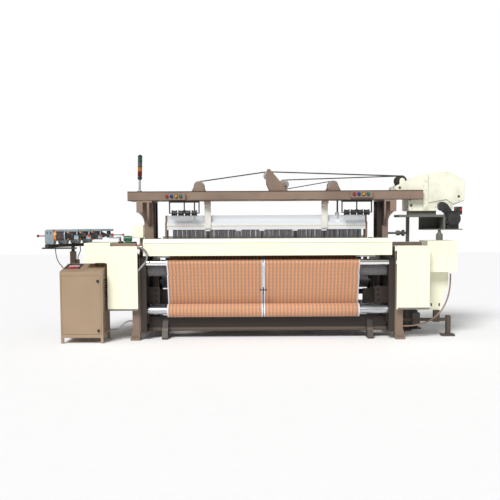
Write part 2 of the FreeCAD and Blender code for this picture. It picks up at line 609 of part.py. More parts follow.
def heald_frame(number):
    lift = raised(number)
    middle = frame_y(number)
    deep = (middle + "-frame_thick/2", middle + "+frame_thick/2")
    rails = []
    for low in ("heald_eye+rail_near+" + lift, "heald_eye-rail_near-rail_high+" + lift):
        rail = plate("rail", "x", [
            (deep[0], low), (deep[1], low), (deep[1], low + "+rail_high"), (deep[0], low + "+rail_high"),
            (deep[0], low + "+rail_high/2+rail_groove/2"), (deep[0] + "+rail_groove/2", low + "+rail_high/2"),
            (deep[0], low + "+rail_high/2-rail_groove/2")], ("-frame_half+stay_wide", "frame_half-stay_wide"))
        hollow = box("rail_hollow", ("-frame_half+stay_wide+rail_wall", "frame_half-stay_wide-rail_wall"),
                     (deep[0] + "+rail_groove/2+rail_wall", deep[1] + "-rail_wall"),
                     (low + "+rail_wall", low + "+rail_high-rail_wall"))
        rails.append(cut("hollow_rail", rail, hollow))
    stays = [box("stay", across_side("frame_half-stay_wide", "frame_half", side), deep,
                 ("heald_eye-rail_near-rail_high+" + lift, "heald_eye+rail_near+rail_high+" + lift))
             for side in (-1, 1)]
    healds = comb("healds", ("heald_left", "heald_right"), (middle + "-heald_thick/2", middle + "+heald_thick/2"),
                  ("heald_eye-rail_near+" + lift, "heald_eye+rail_near+" + lift), "heald_gaps", "heald_slot")
    blocks = []
    for side in (-1, 1):
        x = sided("end_sheave_x+" + running("end_rim"), side)
        y = middle + ("+" if side > 0 else "-") + "side_offset"
        top = "heald_eye+rail_near+rail_high+" + lift
        blocks.append(box("hook_block", (x + "-hook_block/2", x + "+hook_block/2"),
                          (y + "-hook_thick/2", y + "+hook_thick/2"), (top, top + "+hook_block_high")))
    return rails + stays + [healds] + blocks


def drop_cable(number, side):
    """The upright cable from an end sheave down to the hook of one heald frame."""
    x = sided("end_sheave_x+" + running("end_rim"), side)
    y = frame_y(number) + ("+" if side > 0 else "-") + "side_offset"
    return rod("drop_cable", "z", (x, y), "cable_radius",
               ("heald_eye+rail_near+rail_high+hook_block_high+" + raised(number), "end_sheave_z-cable_gap"))


def sheave(x, y, z, rim, pin):
    """A grooved wheel with a wide hub, bored for its pin."""
    half = "sheave_thick/2"
    hub = "(frame_pitch-cable_gap)/2"
    bore = pin + "+bearing_bore_gap"
    return place_y(turned("sheave", "y", (x, z), [
        ("-" + hub, bore), (hub, bore), (hub, "sheave_hub"), (half, "sheave_hub+4"), (half, rim),
        ("groove_half", rim), ("groove_root", rim + "-groove_deep"), ("-groove_root", rim + "-groove_deep"),
        ("-groove_half", rim), ("-" + half, rim), ("-" + half, "sheave_hub+4"), ("-" + hub, "sheave_hub")]), y)


def place_y(body, y):
    bind(body, ".Placement.Base.y", y)
    return body


def sheave_stack(name, x, z, rim, offset, pin="pin_radius"):
    node(name, *[sheave(x, frame_y(number) + offset, z, rim, pin) for number in range(int(sizes["frame_count"]))])


def travel(circles):
    """Straight runs and arcs round a row of circles (x, z, radius, sense), sense 1 being anticlockwise
    as seen with X to the right and Z up. Radius 0 is a plain end point."""
    spots = []
    for (x1, z1, r1, s1), (x2, z2, r2, s2) in zip(circles, circles[1:]):
        gap = math.hypot(x2 - x1, z2 - z1)
        angle = math.atan2(z2 - z1, x2 - x1) - math.asin((s2 * r2 - s1 * r1) / gap)
        normal = (math.sin(angle), -math.cos(angle))
        spots.append(((x1 + s1 * r1 * normal[0], z1 + s1 * r1 * normal[1]),
                      (x2 + s2 * r2 * normal[0], z2 + s2 * r2 * normal[1])))
    return spots


def cable_along(name, y, circles, radius):
    """A taut cable round the given circles, as one pipe of straight runs and arcs."""
    depth = value(y)
    spots = travel(circles)
    edges = []
    for number, (leave, arrive) in enumerate(spots):
        edges.append(Part.makeLine(Vector(leave[0], depth, leave[1]), Vector(arrive[0], depth, arrive[1])))
        if number + 1 == len(spots):
            continue
        x, z, reach, sense = circles[number + 1]
        start = math.atan2(arrive[1] - z, arrive[0] - x)
        stop = math.atan2(spots[number + 1][0][1] - z, spots[number + 1][0][0] - x)
        sweep = (stop - start) * sense % (2 * math.pi) * sense
        points = [Vector(x + reach * math.cos(a), depth, z + reach * math.sin(a))
                  for a in (start, start + sweep / 2, start + sweep)]
        edges.append(Part.Arc(*points).toShape())
    path = Part.Wire(edges)
    first = path.OrderedEdges[0]
    heading = first.tangentAt(first.FirstParameter)
    ring = Part.Wire(Part.makeCircle(radius, first.valueAt(first.FirstParameter), heading))
    thing = doc.addObject("Part::Feature", unique(name))
    thing.Shape = path.makePipeShell([ring], True, False)
    return thing


def circle_at(x, z, rim, sense):
    return (value(x), value(z), value(running(rim)) if rim else 0, sense)


def harness():
    cables = []
    jack = circle_at("jack_centre_x", "jack_centre_z", "jack_rim", -1)
    for number in range(int(sizes["frame_count"])):
        left = [circle_at("-end_sheave_x-" + running("end_rim"), "end_sheave_z-0.01", None, 0),
                circle_at("-end_sheave_x", "end_sheave_z", "end_rim", -1),
                circle_at("upper_x", "upper_z", "upper_rim", -1)]
        right = [circle_at("end_sheave_x+" + running("end_rim"), "end_sheave_z-0.01", None, 0),
                 circle_at("end_sheave_x", "end_sheave_z", "end_rim", 1),
                 circle_at("lower_x", "lower_z", "lower_rim", -1)]
        for circles, offset in ((left, "-side_offset"), (right, "+side_offset")):
            cables.append(cable_along("harness_cable", frame_y(number) + offset,
                                      circles + [taut_end(circles[-1], jack)], value("cable_radius")))
    node("harness_cables", *cables)


def taut_end(before, jack):
    """Where the last straight run meets the jack wheel, as a plain end point."""
    return travel([before, jack])[0][1] + (0, 0)


def jack_wheel(number):
    """One dobby jack: a wheel with two grooves, one for each of its frame's cables."""
    ridge = "side_offset-groove_half"
    half = "jack_thick/2"
    bore = "jack_pin+bearing_bore_gap"
    deep = "jack_rim-groove_deep"
    edge = "side_offset+groove_half"
    profile = [("-" + half, bore), (half, bore), (half, "jack_rim"), (edge, "jack_rim"),
               ("side_offset+groove_root", deep), ("side_offset-groove_root", deep), (ridge, "jack_rim"),
               ("-(%s)" % ridge, "jack_rim"), ("groove_root-side_offset", deep), ("-groove_root-side_offset", deep),
               ("-(%s)" % edge, "jack_rim"),
               ("-" + half, "jack_rim")]
    return place_y(turned("jack_wheel", "y", ("jack_centre_x", "jack_centre_z"), profile), frame_y(number))


def shedding():
    for name, first in (("odd", 0), ("even", 1)):
        numbers = range(first, int(sizes["frame_count"]), 2)
        node(name + "_heald_frames", *[piece for number in numbers for piece in heald_frame(number)])
        node(name + "_drop_cables", *[drop_cable(number, side) for number in numbers for side in (-1, 1)])
        node(name + "_dobby_jacks", *[jack_wheel(number) for number in numbers])
    sheave_stack("left_sheaves", "-end_sheave_x", "end_sheave_z", "end_rim", "-side_offset")
    sheave_stack("right_sheaves", "end_sheave_x", "end_sheave_z", "end_rim", "+side_offset")
    sheave_stack("upper_sheaves", "upper_x", "upper_z", "upper_rim", "-side_offset")
    sheave_stack("lower_sheaves", "lower_x", "lower_z", "lower_rim", "+side_offset")
    harness()


# ---- brackets that carry the sheaves on the top channels
bracket_sizes = {
    "bracket_plate": 8, "bracket_half": 70, "bracket_nose": 24, "bracket_rise": 42, "bracket_step": 35,
    "collar_wall": 9, "centre_left": 4, "centre_foot": 38, "centre_right": 223, "centre_top_left": 10,
    "centre_top_right": 38, "centre_height": 222, "centre_shoulder": 190, "centre_low": 80
}
keep_sizes(bracket_sizes)


def bracket_pair(name, corners):
    """The same upright plate on the front and on the back channel."""
    front = "front_channel+bracket_step"
    back = "back_channel+channel_flange-bracket_step"
    return [plate(name, "y", corners, (front, front + "+bracket_plate")),
            plate(name, "y", corners, (back + "-bracket_plate", back))]


def sheave_pin(x, z, offset):
    """A pin between a pair of plates, with a collar on each side of the sheaves."""
    front = "front_channel+bracket_step+bracket_plate"
    back = "back_channel+channel_flange-bracket_step-bracket_plate"
    first = "first_frame_y-frame_pitch/2" + offset
    last = "first_frame_y+(frame_count-0.5)*frame_pitch" + offset
    return [rod("sheave_pin", "y", (x, z), "pin_radius", (front, back)),
            rod("sheave_collar", "y", (x, z), "pin_radius+collar_wall", (front, first + "-cable_gap")),
            rod("sheave_collar", "y", (x, z), "pin_radius+collar_wall", (last + "+cable_gap", back))]


def pulley_brackets():
    for_ends = []
    for side in (-1, 1):
        centre = sided("end_sheave_x", side)
        corners = [(centre + "-bracket_half", "beam_high"), (centre + "+bracket_half", "beam_high"),
                   (centre + "+bracket_nose", "end_sheave_z+bracket_rise"),
                   (centre + "-bracket_nose", "end_sheave_z+bracket_rise")]
        offset = "+side_offset" if side > 0 else "-side_offset"
        for_ends.append(fuse("end_bracket", *bracket_pair("end_plate", corners),
                             *sheave_pin(centre, "end_sheave_z", offset)))
    corners = [("centre_foot", "beam_high"), ("centre_right", "beam_high"),
               ("centre_top_right", "beam_high+centre_height"), ("centre_top_left", "beam_high+centre_height"),
               ("centre_left", "beam_high+centre_shoulder"), ("centre_left", "beam_high+centre_low")]
    centre = fuse("centre_bracket", *bracket_pair("centre_plate", corners),
                  *sheave_pin("upper_x", "upper_z", "-side_offset"),
                  *sheave_pin("lower_x", "lower_z", "+side_offset"))
    node("pulley_brackets", *for_ends, centre)


sley()
reed()
shedding()
pulley_brackets()


# ---- rollers, cloth roll, warp beam and back rest
roller_sizes = {
    "cloth_left": -982, "cloth_right": 900, "cloth_split": -41, "split_gap": 10, "cloth_thick": 1.6,
    "roll_radius": 66, "roll_fit": 0.2, "fell_y": 436, "warp_radius": 240, "barrel_radius": 75,
    "flange_radius": 340, "flange_thick": 14, "flange_gap": 18, "flange_ribs": 8, "rib_thick": 10,
    "rib_deep": 26, "warp_end_y": 746, "warp_thick": 1.6
}
keep_sizes(roller_sizes)


def roller(name, y, z, radius, pin):
    """A roller with a journal at each end, running in the side frames."""
    return fuse(name, rod(name + "_barrel", "x", (y, z), radius, ("roller_play-rim_in", "rim_in-roller_play")),
                rod(name + "_journal", "x", (y, z), pin, ("-frame_out+2", "frame_out-2")))


def rollers():
    node("guide_roller", roller("guide", "guide_y", "guide_z", "guide_radius", "guide_pin"))
    node("take_up_roller", roller("take_up", "take_y", "take_z", "take_radius", "take_pin"))
    node("back_rest", roller("rest", "rest_y", "rest_z", "rest_radius", "rest_pin"))
    node("cloth_roller", roller("cloth_tube", "roll_y", "roll_z", "tube_radius", "roll_pin"))
    left = pipe("left_roll", "x", ("roll_y", "roll_z"), "roll_radius", "tube_radius+roll_fit",
                ("cloth_left", "cloth_split-split_gap/2"))
    right = pipe("right_roll", "x", ("roll_y", "roll_z"), "roll_radius", "tube_radius+roll_fit",
                 ("cloth_split+split_gap/2", "cloth_right"))
    node("cloth_roll", left, right)


def warp_beam():
    centre = ("warp_y", "warp_z")
    barrel = roller("warp_barrel", "warp_y", "warp_z", "barrel_radius", "warp_pin")
    flanges = []
    for edge, outward in (("cloth_left-flange_gap-flange_thick", -1), ("cloth_right+flange_gap", 1)):
        flanges.append(rod("beam_flange", "x", centre, "flange_radius", (edge, edge + "+flange_thick")))
        face = edge if outward < 0 else edge + "+flange_thick"
        span = (face + "-rib_deep", face) if outward < 0 else (face, face + "+rib_deep")
        flanges.append(rod("flange_hub", "x", centre, "barrel_radius+rib_deep*2", span))
        for number in range(int(sizes["flange_ribs"])):
            rib = doc.addObject("Part::Box", unique("flange_rib"))
            bind(rib, "Length", "rib_deep")
            bind(rib, "Width", "flange_radius-barrel_radius-rib_deep-12")
            bind(rib, "Height", "rib_thick")
            angle = 360.0 * number / sizes["flange_ribs"]
            rib.Placement.Rotation = FreeCAD.Rotation(Vector(1, 0, 0), angle)
            reach = "(barrel_radius+rib_deep)"
            turn = "%s" % math.radians(angle)
            place(rib, span[0],
                  "warp_y+%s*%.9f+rib_thick/2*%.9f" % (reach, math.cos(float(turn)), math.sin(float(turn))),
                  "warp_z+%s*%.9f-rib_thick/2*%.9f" % (reach, math.sin(float(turn)), math.cos(float(turn))))
            flanges.append(rib)
    frame = fuse("warp_barrel_flanged", barrel, *flanges)
    wound = pipe("wound_warp", "x", centre, "warp_radius", "barrel_radius+roll_fit", ("cloth_left", "cloth_right"))
    node("warp_beam", frame, wound)


# ---- the cloth and the warp, as thin sheets bent round what they run over
def ribbon(name, circles, thick, x):
    """A sheet of even thickness along a path of runs and arcs in the Y-Z plane, between two places of X."""
    sides = []
    for shift in (thick / 2, -thick / 2):
        rows = [(y, z, r - s * shift if r else 0, s) for y, z, r, s in circles]
        spots = travel(circles)
        for end, (near, far) in ((0, spots[0]), (-1, spots[-1])):
            if circles[end][2]:
                continue
            length = math.hypot(far[0] - near[0], far[1] - near[1])
            rows[end] = (rows[end][0] - (far[1] - near[1]) / length * shift,
                         rows[end][1] + (far[0] - near[0]) / length * shift, 0, 0)
        edges = []
        runs = travel(rows)
        for number, (leave, arrive) in enumerate(runs):
            edges.append(Part.makeLine(Vector(0, *leave), Vector(0, *arrive)))
            if number + 1 < len(runs):
                y, z, reach, sense = rows[number + 1]
                start = math.atan2(arrive[1] - z, arrive[0] - y)
                stop = math.atan2(runs[number + 1][0][1] - z, runs[number + 1][0][0] - y)
                sweep = (stop - start) * sense % (2 * math.pi) * sense
                edges.append(Part.Arc(*[Vector(0, y + reach * math.cos(a), z + reach * math.sin(a))
                                        for a in (start, start + sweep / 2, start + sweep)]).toShape())
        sides.append((edges, Vector(0, *runs[0][0]), Vector(0, *runs[-1][1])))
    caps = [Part.makeLine(sides[0][1], sides[1][1]), Part.makeLine(sides[0][2], sides[1][2])]
    outline = Part.Wire(Part.__sortEdges__(sides[0][0] + sides[1][0] + caps))
    thing = doc.addObject("Part::Feature", unique(name))
    thing.Shape = Part.Face(outline).extrude(Vector(x[1] - x[0], 0, 0))
    thing.Placement.Base = Vector(x[0], 0, 0)
    return thing


def around(y, z, radius, sense, thick):
    """A circle of the sheet's middle line, a gap away from the roller that it bends round."""
    return (value(y), value(z), value("%s+sheet_gap+%s/2" % (radius, thick)), sense)


def cloth_sheet():
    top = value("cloth_line+cloth_thick/2")
    circles = [(value("fell_y"), top, 0, 0),
               around("breast_bar_y", "cloth_line-breast_bar_radius", "breast_bar_radius-sheet_gap", 1, "cloth_thick"),
               around("take_y", "take_z", "take_radius", -1, "cloth_thick"),
               around("guide_y", "guide_z", "guide_radius", 1, "cloth_thick"),
               around("roll_y", "roll_z", "roll_radius", -1, "cloth_thick")]
    halves = [ribbon("cloth", circles, sizes["cloth_thick"], x)
              for x in ((value("cloth_left"), value("cloth_split-split_gap/2")),
                        (value("cloth_split+split_gap/2"), value("cloth_right")))]
    node("cloth_sheet", *halves)


def warp_sheet():
    circles = [around("warp_y", "warp_z", "warp_radius", 1, "warp_thick"),
               around("rest_y", "rest_z", "rest_radius", 1, "warp_thick"),
               (value("warp_end_y"), value("cloth_line+(warp_end_y-first_frame_y)*0.1"), 0, 0)]
    node("warp_sheet", ribbon("warp", circles, sizes["warp_thick"], (sizes["cloth_left"], sizes["cloth_right"])))


# ---- warp stop motion: four rows of drop wires on contact rails
stop_motion_sizes = {
    "stop_front": 985, "stop_rows": 4, "row_pitch": 36, "stop_beam_wide": 22, "stop_beam_low": 850,
    "stop_beam_high": 884, "rail_low": 884, "rail_top": 902, "rail_thick": 10, "wire_gaps": 30,
    "wire_slot": 44, "wire_thick": 1.5, "wire_low": 824
}
keep_sizes(stop_motion_sizes)


def warp_stop_motion():
    span = ("-frame_in", "frame_in")
    first = "stop_front+stop_beam_wide"
    last = first + "+(stop_rows+1)*row_pitch"
    beams = [box("stop_beam", span, (edge, edge + "+stop_beam_wide"), ("stop_beam_low", "stop_beam_high"))
             for edge in ("stop_front", last)]
    ends = [box("stop_end", across_side("rim_in-90", "rim_in-70", side), ("stop_front", last + "+stop_beam_wide"),
                ("stop_beam_high", "rail_top+12")) for side in (-1, 1)]
    rows = []
    for number in range(int(sizes["stop_rows"])):
        middle = first + "+%d*row_pitch" % (number + 1)
        rows.append(box("contact_rail", ("-rim_in+90", "rim_in-90"), (middle + "-rail_thick/2", middle + "+rail_thick/2"),
                        ("rail_low", "rail_top")))
        rows.append(comb("drop_wires", ("cloth_left", "cloth_right"),
                         (middle + "+rail_thick/2", middle + "+rail_thick/2+wire_thick"),
                         ("wire_low", "rail_top+24"), "wire_gaps", "wire_slot"))
    node("warp_stop_motion", *beams, *ends, *rows)


# ---- rapiers: a wheel on each side, its tape and its gripper head
rapier_sizes = {
    "wheel_half": 13, "wheel_web": 5, "wheel_rim": 12, "wheel_hub": 46, "wheel_holes": 6, "hole_circle": 140,
    "hole_radius": 44, "tape_half": 12, "head_long": 110, "head_half": 11, "head_low": 12, "head_high": 10,
    "left_head": -1010, "right_head": 930, "nose_long": 46, "nose_low": 4
}
keep_sizes(rapier_sizes)


def rapier_wheel(name, side):
    centre = (sided("wheel_x", side), "tape_line-tape_radius")
    rim = "tape_radius-tape_thick/2-sheet_gap"
    bore = "stub_radius+bearing_bore_gap"
    disc = turned("wheel", "y", centre, [
        ("tape_y-wheel_half", bore), ("tape_y+wheel_half", bore), ("tape_y+wheel_half", "wheel_hub"),
        ("tape_y+wheel_web", "wheel_hub"), ("tape_y+wheel_web", rim + "-wheel_rim"),
        ("tape_y+wheel_half", rim + "-wheel_rim"), ("tape_y+wheel_half", rim), ("tape_y-wheel_half", rim),
        ("tape_y-wheel_half", rim + "-wheel_rim"), ("tape_y-wheel_web", rim + "-wheel_rim"),
        ("tape_y-wheel_web", "wheel_hub"), ("tape_y-wheel_half", "wheel_hub")])
    holes = []
    for number in range(int(sizes["wheel_holes"])):
        angle = 2 * math.pi * (number + 0.5) / sizes["wheel_holes"]
        holes.append(rod("wheel_hole", "y", (centre[0] + "+hole_circle*%.9f" % math.cos(angle),
                                             centre[1] + "+hole_circle*%.9f" % math.sin(angle)),
                         "hole_radius", ("tape_y-wheel_half-2", "tape_y+wheel_half+2")))
    node(name, cut(name + "_lightened", disc, *holes))


def rapier_head(name, nose, way):
    """A gripper head whose nose points along X (way 1) or against it (way -1)."""
    at = lambda back: nose + ("-" if way > 0 else "+") + "(" + back + ")"
    corners = [(at("0"), "tape_line-nose_low"), (at("nose_long"), "tape_line+head_high"),
               (at("head_long"), "tape_line+head_high"), (at("head_long"), "tape_line-head_low"),
               (at("nose_long/2"), "tape_line-head_low")]
    shell = plate(name + "_body", "y", corners, ("tape_y-head_half", "tape_y+head_half"))
    slot = box(name + "_slot", (at("head_long-20"), at("nose_long")) if way > 0 else (at("nose_long"), at("head_long-20")),
               ("tape_y-head_half-1", "tape_y-2"), ("tape_line-4", "tape_line+3"))
    node(name, cut(name + "_slotted", shell, slot))


def tape(name, side, head):
    """The flexible tape's straight stretch, from the top of its wheel to the back of its head."""
    far = sided("wheel_x", side)
    near = head + ("+" if side > 0 else "-") + "head_long"
    span = (far, near) if side < 0 else (near, far)
    node(name, box(name + "_strip", span, ("tape_y-tape_half", "tape_y+tape_half"),
                   ("tape_line-tape_thick/2", "tape_line+tape_thick/2")))


rollers()
warp_beam()
cloth_sheet()
warp_sheet()
warp_stop_motion()
rapier_wheel("left_rapier_wheel", -1)
rapier_wheel("right_rapier_wheel", 1)
rapier_head("left_gripper", "left_head", 1)
rapier_head("right_gripper", "right_head", -1)
tape("left_tape", -1, "left_head")
tape("right_tape", 1, "right_head")


# ---- main shaft with its hand wheel, and the motor that drives it
drive_sizes = {
    "shaft_end": 1400, "hand_wheel_x": 1330, "hand_wheel_wide": 34, "hand_wheel_radius": 165,
    "hand_wheel_rim": 26, "hand_wheel_web": 10, "motor_gap": 0.3, "motor_long": 250, "motor_radius": 92,
    "motor_foot": 150, "motor_base": 14, "motor_collar": 60
}
keep_sizes(drive_sizes)


def main_drive():
    centre = ("main_shaft_y", "main_shaft_z")
    shaft = rod("main_shaft_bar", "x", centre, "main_shaft_radius", ("-frame_out-30", "shaft_end"))
    wheel = turned("hand_wheel", "x", centre, [
        ("hand_wheel_x", "main_shaft_radius-4"), ("hand_wheel_x+hand_wheel_wide", "main_shaft_radius-4"),
        ("hand_wheel_x+hand_wheel_wide", "main_shaft_radius+20"),
        ("hand_wheel_x+hand_wheel_wide/2+hand_wheel_web/2", "main_shaft_radius+26"),
        ("hand_wheel_x+hand_wheel_wide/2+hand_wheel_web/2", "hand_wheel_radius-hand_wheel_rim"),
        ("hand_wheel_x+hand_wheel_wide", "hand_wheel_radius-hand_wheel_rim"),
        ("hand_wheel_x+hand_wheel_wide", "hand_wheel_radius"), ("hand_wheel_x", "hand_wheel_radius"),
        ("hand_wheel_x", "hand_wheel_radius-hand_wheel_rim"),
        ("hand_wheel_x+hand_wheel_wide/2-hand_wheel_web/2", "hand_wheel_radius-hand_wheel_rim"),
        ("hand_wheel_x+hand_wheel_wide/2-hand_wheel_web/2", "main_shaft_radius+26"),
        ("hand_wheel_x", "main_shaft_radius+20")])
    node("main_shaft", fuse("shaft_and_wheel", shaft, wheel))
    near = "shaft_end+motor_gap"
    body = [rod("motor_shell", "x", centre, "motor_radius", (near + "+30", near + "+motor_long")),
            rod("motor_nose", "x", centre, "motor_collar", (near, near + "+30")),
            rod("motor_fan_cover", "x", centre, "motor_radius-10", (near + "+motor_long", near + "+motor_long+40")),
            box("motor_pedestal", (near + "+70", near + "+70+motor_foot"), ("main_shaft_y-70", "main_shaft_y+70"),
                ("motor_base", "main_shaft_z-40")),
            box("motor_sole", (near + "+40", near + "+100+motor_foot"), ("main_shaft_y-100", "main_shaft_y+100"),
                ("0", "motor_base"))]
    for number in range(9):
        body.append(rod("motor_fin", "x", centre, "motor_radius+7",
                        (near + "+%d" % (48 + 21 * number), near + "+%d" % (54 + 21 * number))))
    node("main_motor", fuse("motor_whole", *body))


main_drive()


# ---- sheet-metal covers at the two sides
side_cover_sizes = {
    "side_sheet": 3, "side_deep": 430, "left_edge": -1762, "left_step": -1545, "left_inner": -1253,
    "left_notch": -1512, "side_low": 297, "upper_low": 762, "notch_top": 920, "left_top": 953,
    "stay_low": 400, "stay_high": 640, "stay_tall": 40, "stay_from": 1262, "stay_to": 1306,
    "right_inner": 1243, "right_shell": 1253, "right_edge": 1560, "right_top": 910, "right_chamfer": 14,
    "right_deep": 118, "box_left": 1564, "box_right": 1850, "box_low": 650, "box_high": 954,
    "box_front": 120, "box_back": 480, "panel_y": 250, "panel_left": 1490, "panel_right": 1805,
    "panel_low": 261, "panel_neck": 1748, "panel_bend": 419, "panel_shoulder": 514, "panel_slot_one": 1632,
    "panel_slot_two": 1712, "panel_slot_z": 299, "panel_slot_wide": 14, "panel_slot_high": 30,
    "panel_return": 50, "top_rail_left": 1206, "top_rail_right": 1500, "top_rail_high": 38,
    "top_rail_front": 62, "top_rail_deep": 40
}
keep_sizes(side_cover_sizes)


def left_cover():
    outer = [("left_edge", "upper_low"), ("left_step", "upper_low"), ("left_step", "side_low"),
             ("left_inner", "side_low"), ("left_inner", "notch_top"), ("left_notch", "notch_top"),
             ("left_notch", "left_top"), ("left_edge", "left_top")]
    inner = [("left_edge+side_sheet", "upper_low+side_sheet"), ("left_step+side_sheet", "upper_low+side_sheet"),
             ("left_step+side_sheet", "side_low-1"), ("left_inner+1", "side_low-1"),
             ("left_inner+1", "notch_top-side_sheet"), ("left_notch-side_sheet", "notch_top-side_sheet"),
             ("left_notch-side_sheet", "left_top-side_sheet"), ("left_edge+side_sheet", "left_top-side_sheet")]
    shell = cut("left_shell", plate("left_outside", "y", outer, ("0", "side_deep")),
                plate("left_inside", "y", inner, ("side_sheet", "side_deep+1")))
    stays = [box("cover_stay", ("-stay_to", "-stay_from"), ("side_sheet", "leg_front"), (low, low + "+stay_tall"))
             for low in ("stay_low", "stay_high")]
    node("left_cover", fuse("left_cover_folded", shell, *stays))


def right_covers():
    front = plate("right_front", "y", [
        ("right_inner", "side_low"), ("right_edge", "side_low"), ("right_edge", "right_top"),
        ("right_inner+right_chamfer", "right_top"), ("right_inner", "right_top-right_chamfer")], ("0", "side_sheet"))
    top = box("right_roof", ("right_shell", "right_edge"), ("side_sheet", "right_deep"),
              ("right_top-side_sheet", "right_top"))
    wall = box("right_wall", ("right_edge-side_sheet", "right_edge"), ("side_sheet", "right_deep"),
               ("side_low", "right_top-side_sheet"))
    stays = [box("cover_stay", ("stay_from", "stay_to"), ("side_sheet", "leg_front"), (low, low + "+stay_tall"))
             for low in ("stay_low", "stay_high")]
    rail = box("top_rail", ("top_rail_left", "top_rail_right"), ("top_rail_front", "top_rail_front+top_rail_deep"),
               ("right_top", "right_top+top_rail_high"))
    shell = cut("right_box", box("right_box_outside", ("box_left", "box_right"), ("box_front", "box_back"),
                                 ("box_low", "box_high")),
                box("right_box_inside", ("box_left+side_sheet", "box_right-side_sheet"),
                    ("box_front+side_sheet", "box_back+1"), ("box_low+side_sheet", "box_high-side_sheet")))
    bridge = box("box_bridge", ("right_edge-30", "box_left+40"), ("right_deep", "box_front"),
                 ("box_low+60", "box_high-60"))
    panel = plate("lower_panel", "y", [
        ("panel_left", "panel_low"), ("panel_neck", "panel_low"), ("panel_neck", "panel_bend"),
        ("panel_right", "panel_shoulder"), ("panel_right", "box_low"), ("panel_left", "box_low")],
        ("panel_y", "panel_y+side_sheet"))
    returned = plate("panel_return", "x", frame_outline(
        ("panel_y+side_sheet", "panel_low"), ("panel_y+panel_return", "panel_bend")),
        ("panel_neck-side_sheet", "panel_neck"))
    slots = [box("panel_slot", (x + "-panel_slot_wide/2", x + "+panel_slot_wide/2"), ("panel_y-1", "panel_y+side_sheet+1"),
                 ("panel_slot_z-panel_slot_high/2", "panel_slot_z+panel_slot_high/2"))
             for x in ("panel_slot_one", "panel_slot_two")]
    node("right_covers", fuse("right_cover_folded", front, top, wall, *stays), rail,
         fuse("right_box_bridged", shell, bridge), cut("panel_slotted", fuse("panel_folded", panel, returned), *slots))


left_cover()
right_covers()


# ---- dobby: cast housing, its stand and its motor
dobby_sizes = {
    "dobby_front": 535, "dobby_back": 860, "dobby_low": 1253, "dobby_left": 1465, "dobby_toe": 1475,
    "dobby_right": 2039, "dobby_nose": 1321, "dobby_nose_high": 1504, "dobby_nose_low": 1480,
    "dobby_chin": 1378, "dobby_brow": 1587, "dobby_brow_x": 1486, "dobby_top": 1650, "dobby_top_x": 1881,
    "dobby_ridge": 1638, "dobby_ridge_x": 1665, "dobby_shoulder": 1621, "dobby_shoulder_x": 1605,
    "dobby_corner": 1560, "notch_left": 1752, "notch_right": 1850, "notch_radius": 52, "notch_low": 1312,
    "jaw_low": 1256, "lug_thick": 20, "lug_radius": 26, "cheek_front": 565, "cheek_back": 740, "cheek_right": 1512, "plate_thick": 9,
    "plate_inset": 8, "ridge_left": 1612, "ridge_wide": 46, "bolt_head": 9, "bolt_high": 7,
    "stand_left": 1345, "stand_right": 1809, "stand_top": 1213, "stand_plate": 12, "stand_front": 540,
    "stand_deep": 150, "stand_wall_low": 1060, "shelf_right": 1985, "shelf_low": 1058, "shelf_thick": 10,
    "shelf_front": 400, "post_left": 1462, "post_wide": 30, "post_front": 612, "post_deep": 40,
    "post_foot": 20, "cross_z": 1026, "cross_y": 632, "cross_radius": 11, "coupling_radius": 26,
    "bottle_x": 1758, "bottle_y": 430, "bottle_radius": 34, "bottle_neck": 15, "outrig_y": 255,
    "outrig_z": 165, "outrig_half": 15, "outrig_end": 1790, "outrig_foot": 1830, "outrig_high": 205,
    "hanger_left": 1662, "hanger_right": 1721, "knuckle_left": 1448, "knuckle_right": 1523
}
keep_sizes(dobby_sizes)


def bolt_heads(places, face, radius="bolt_head"):
    return [rod("bolt_head", "y", place_at, radius, (face + "-bolt_high", face)) for place_at in places]


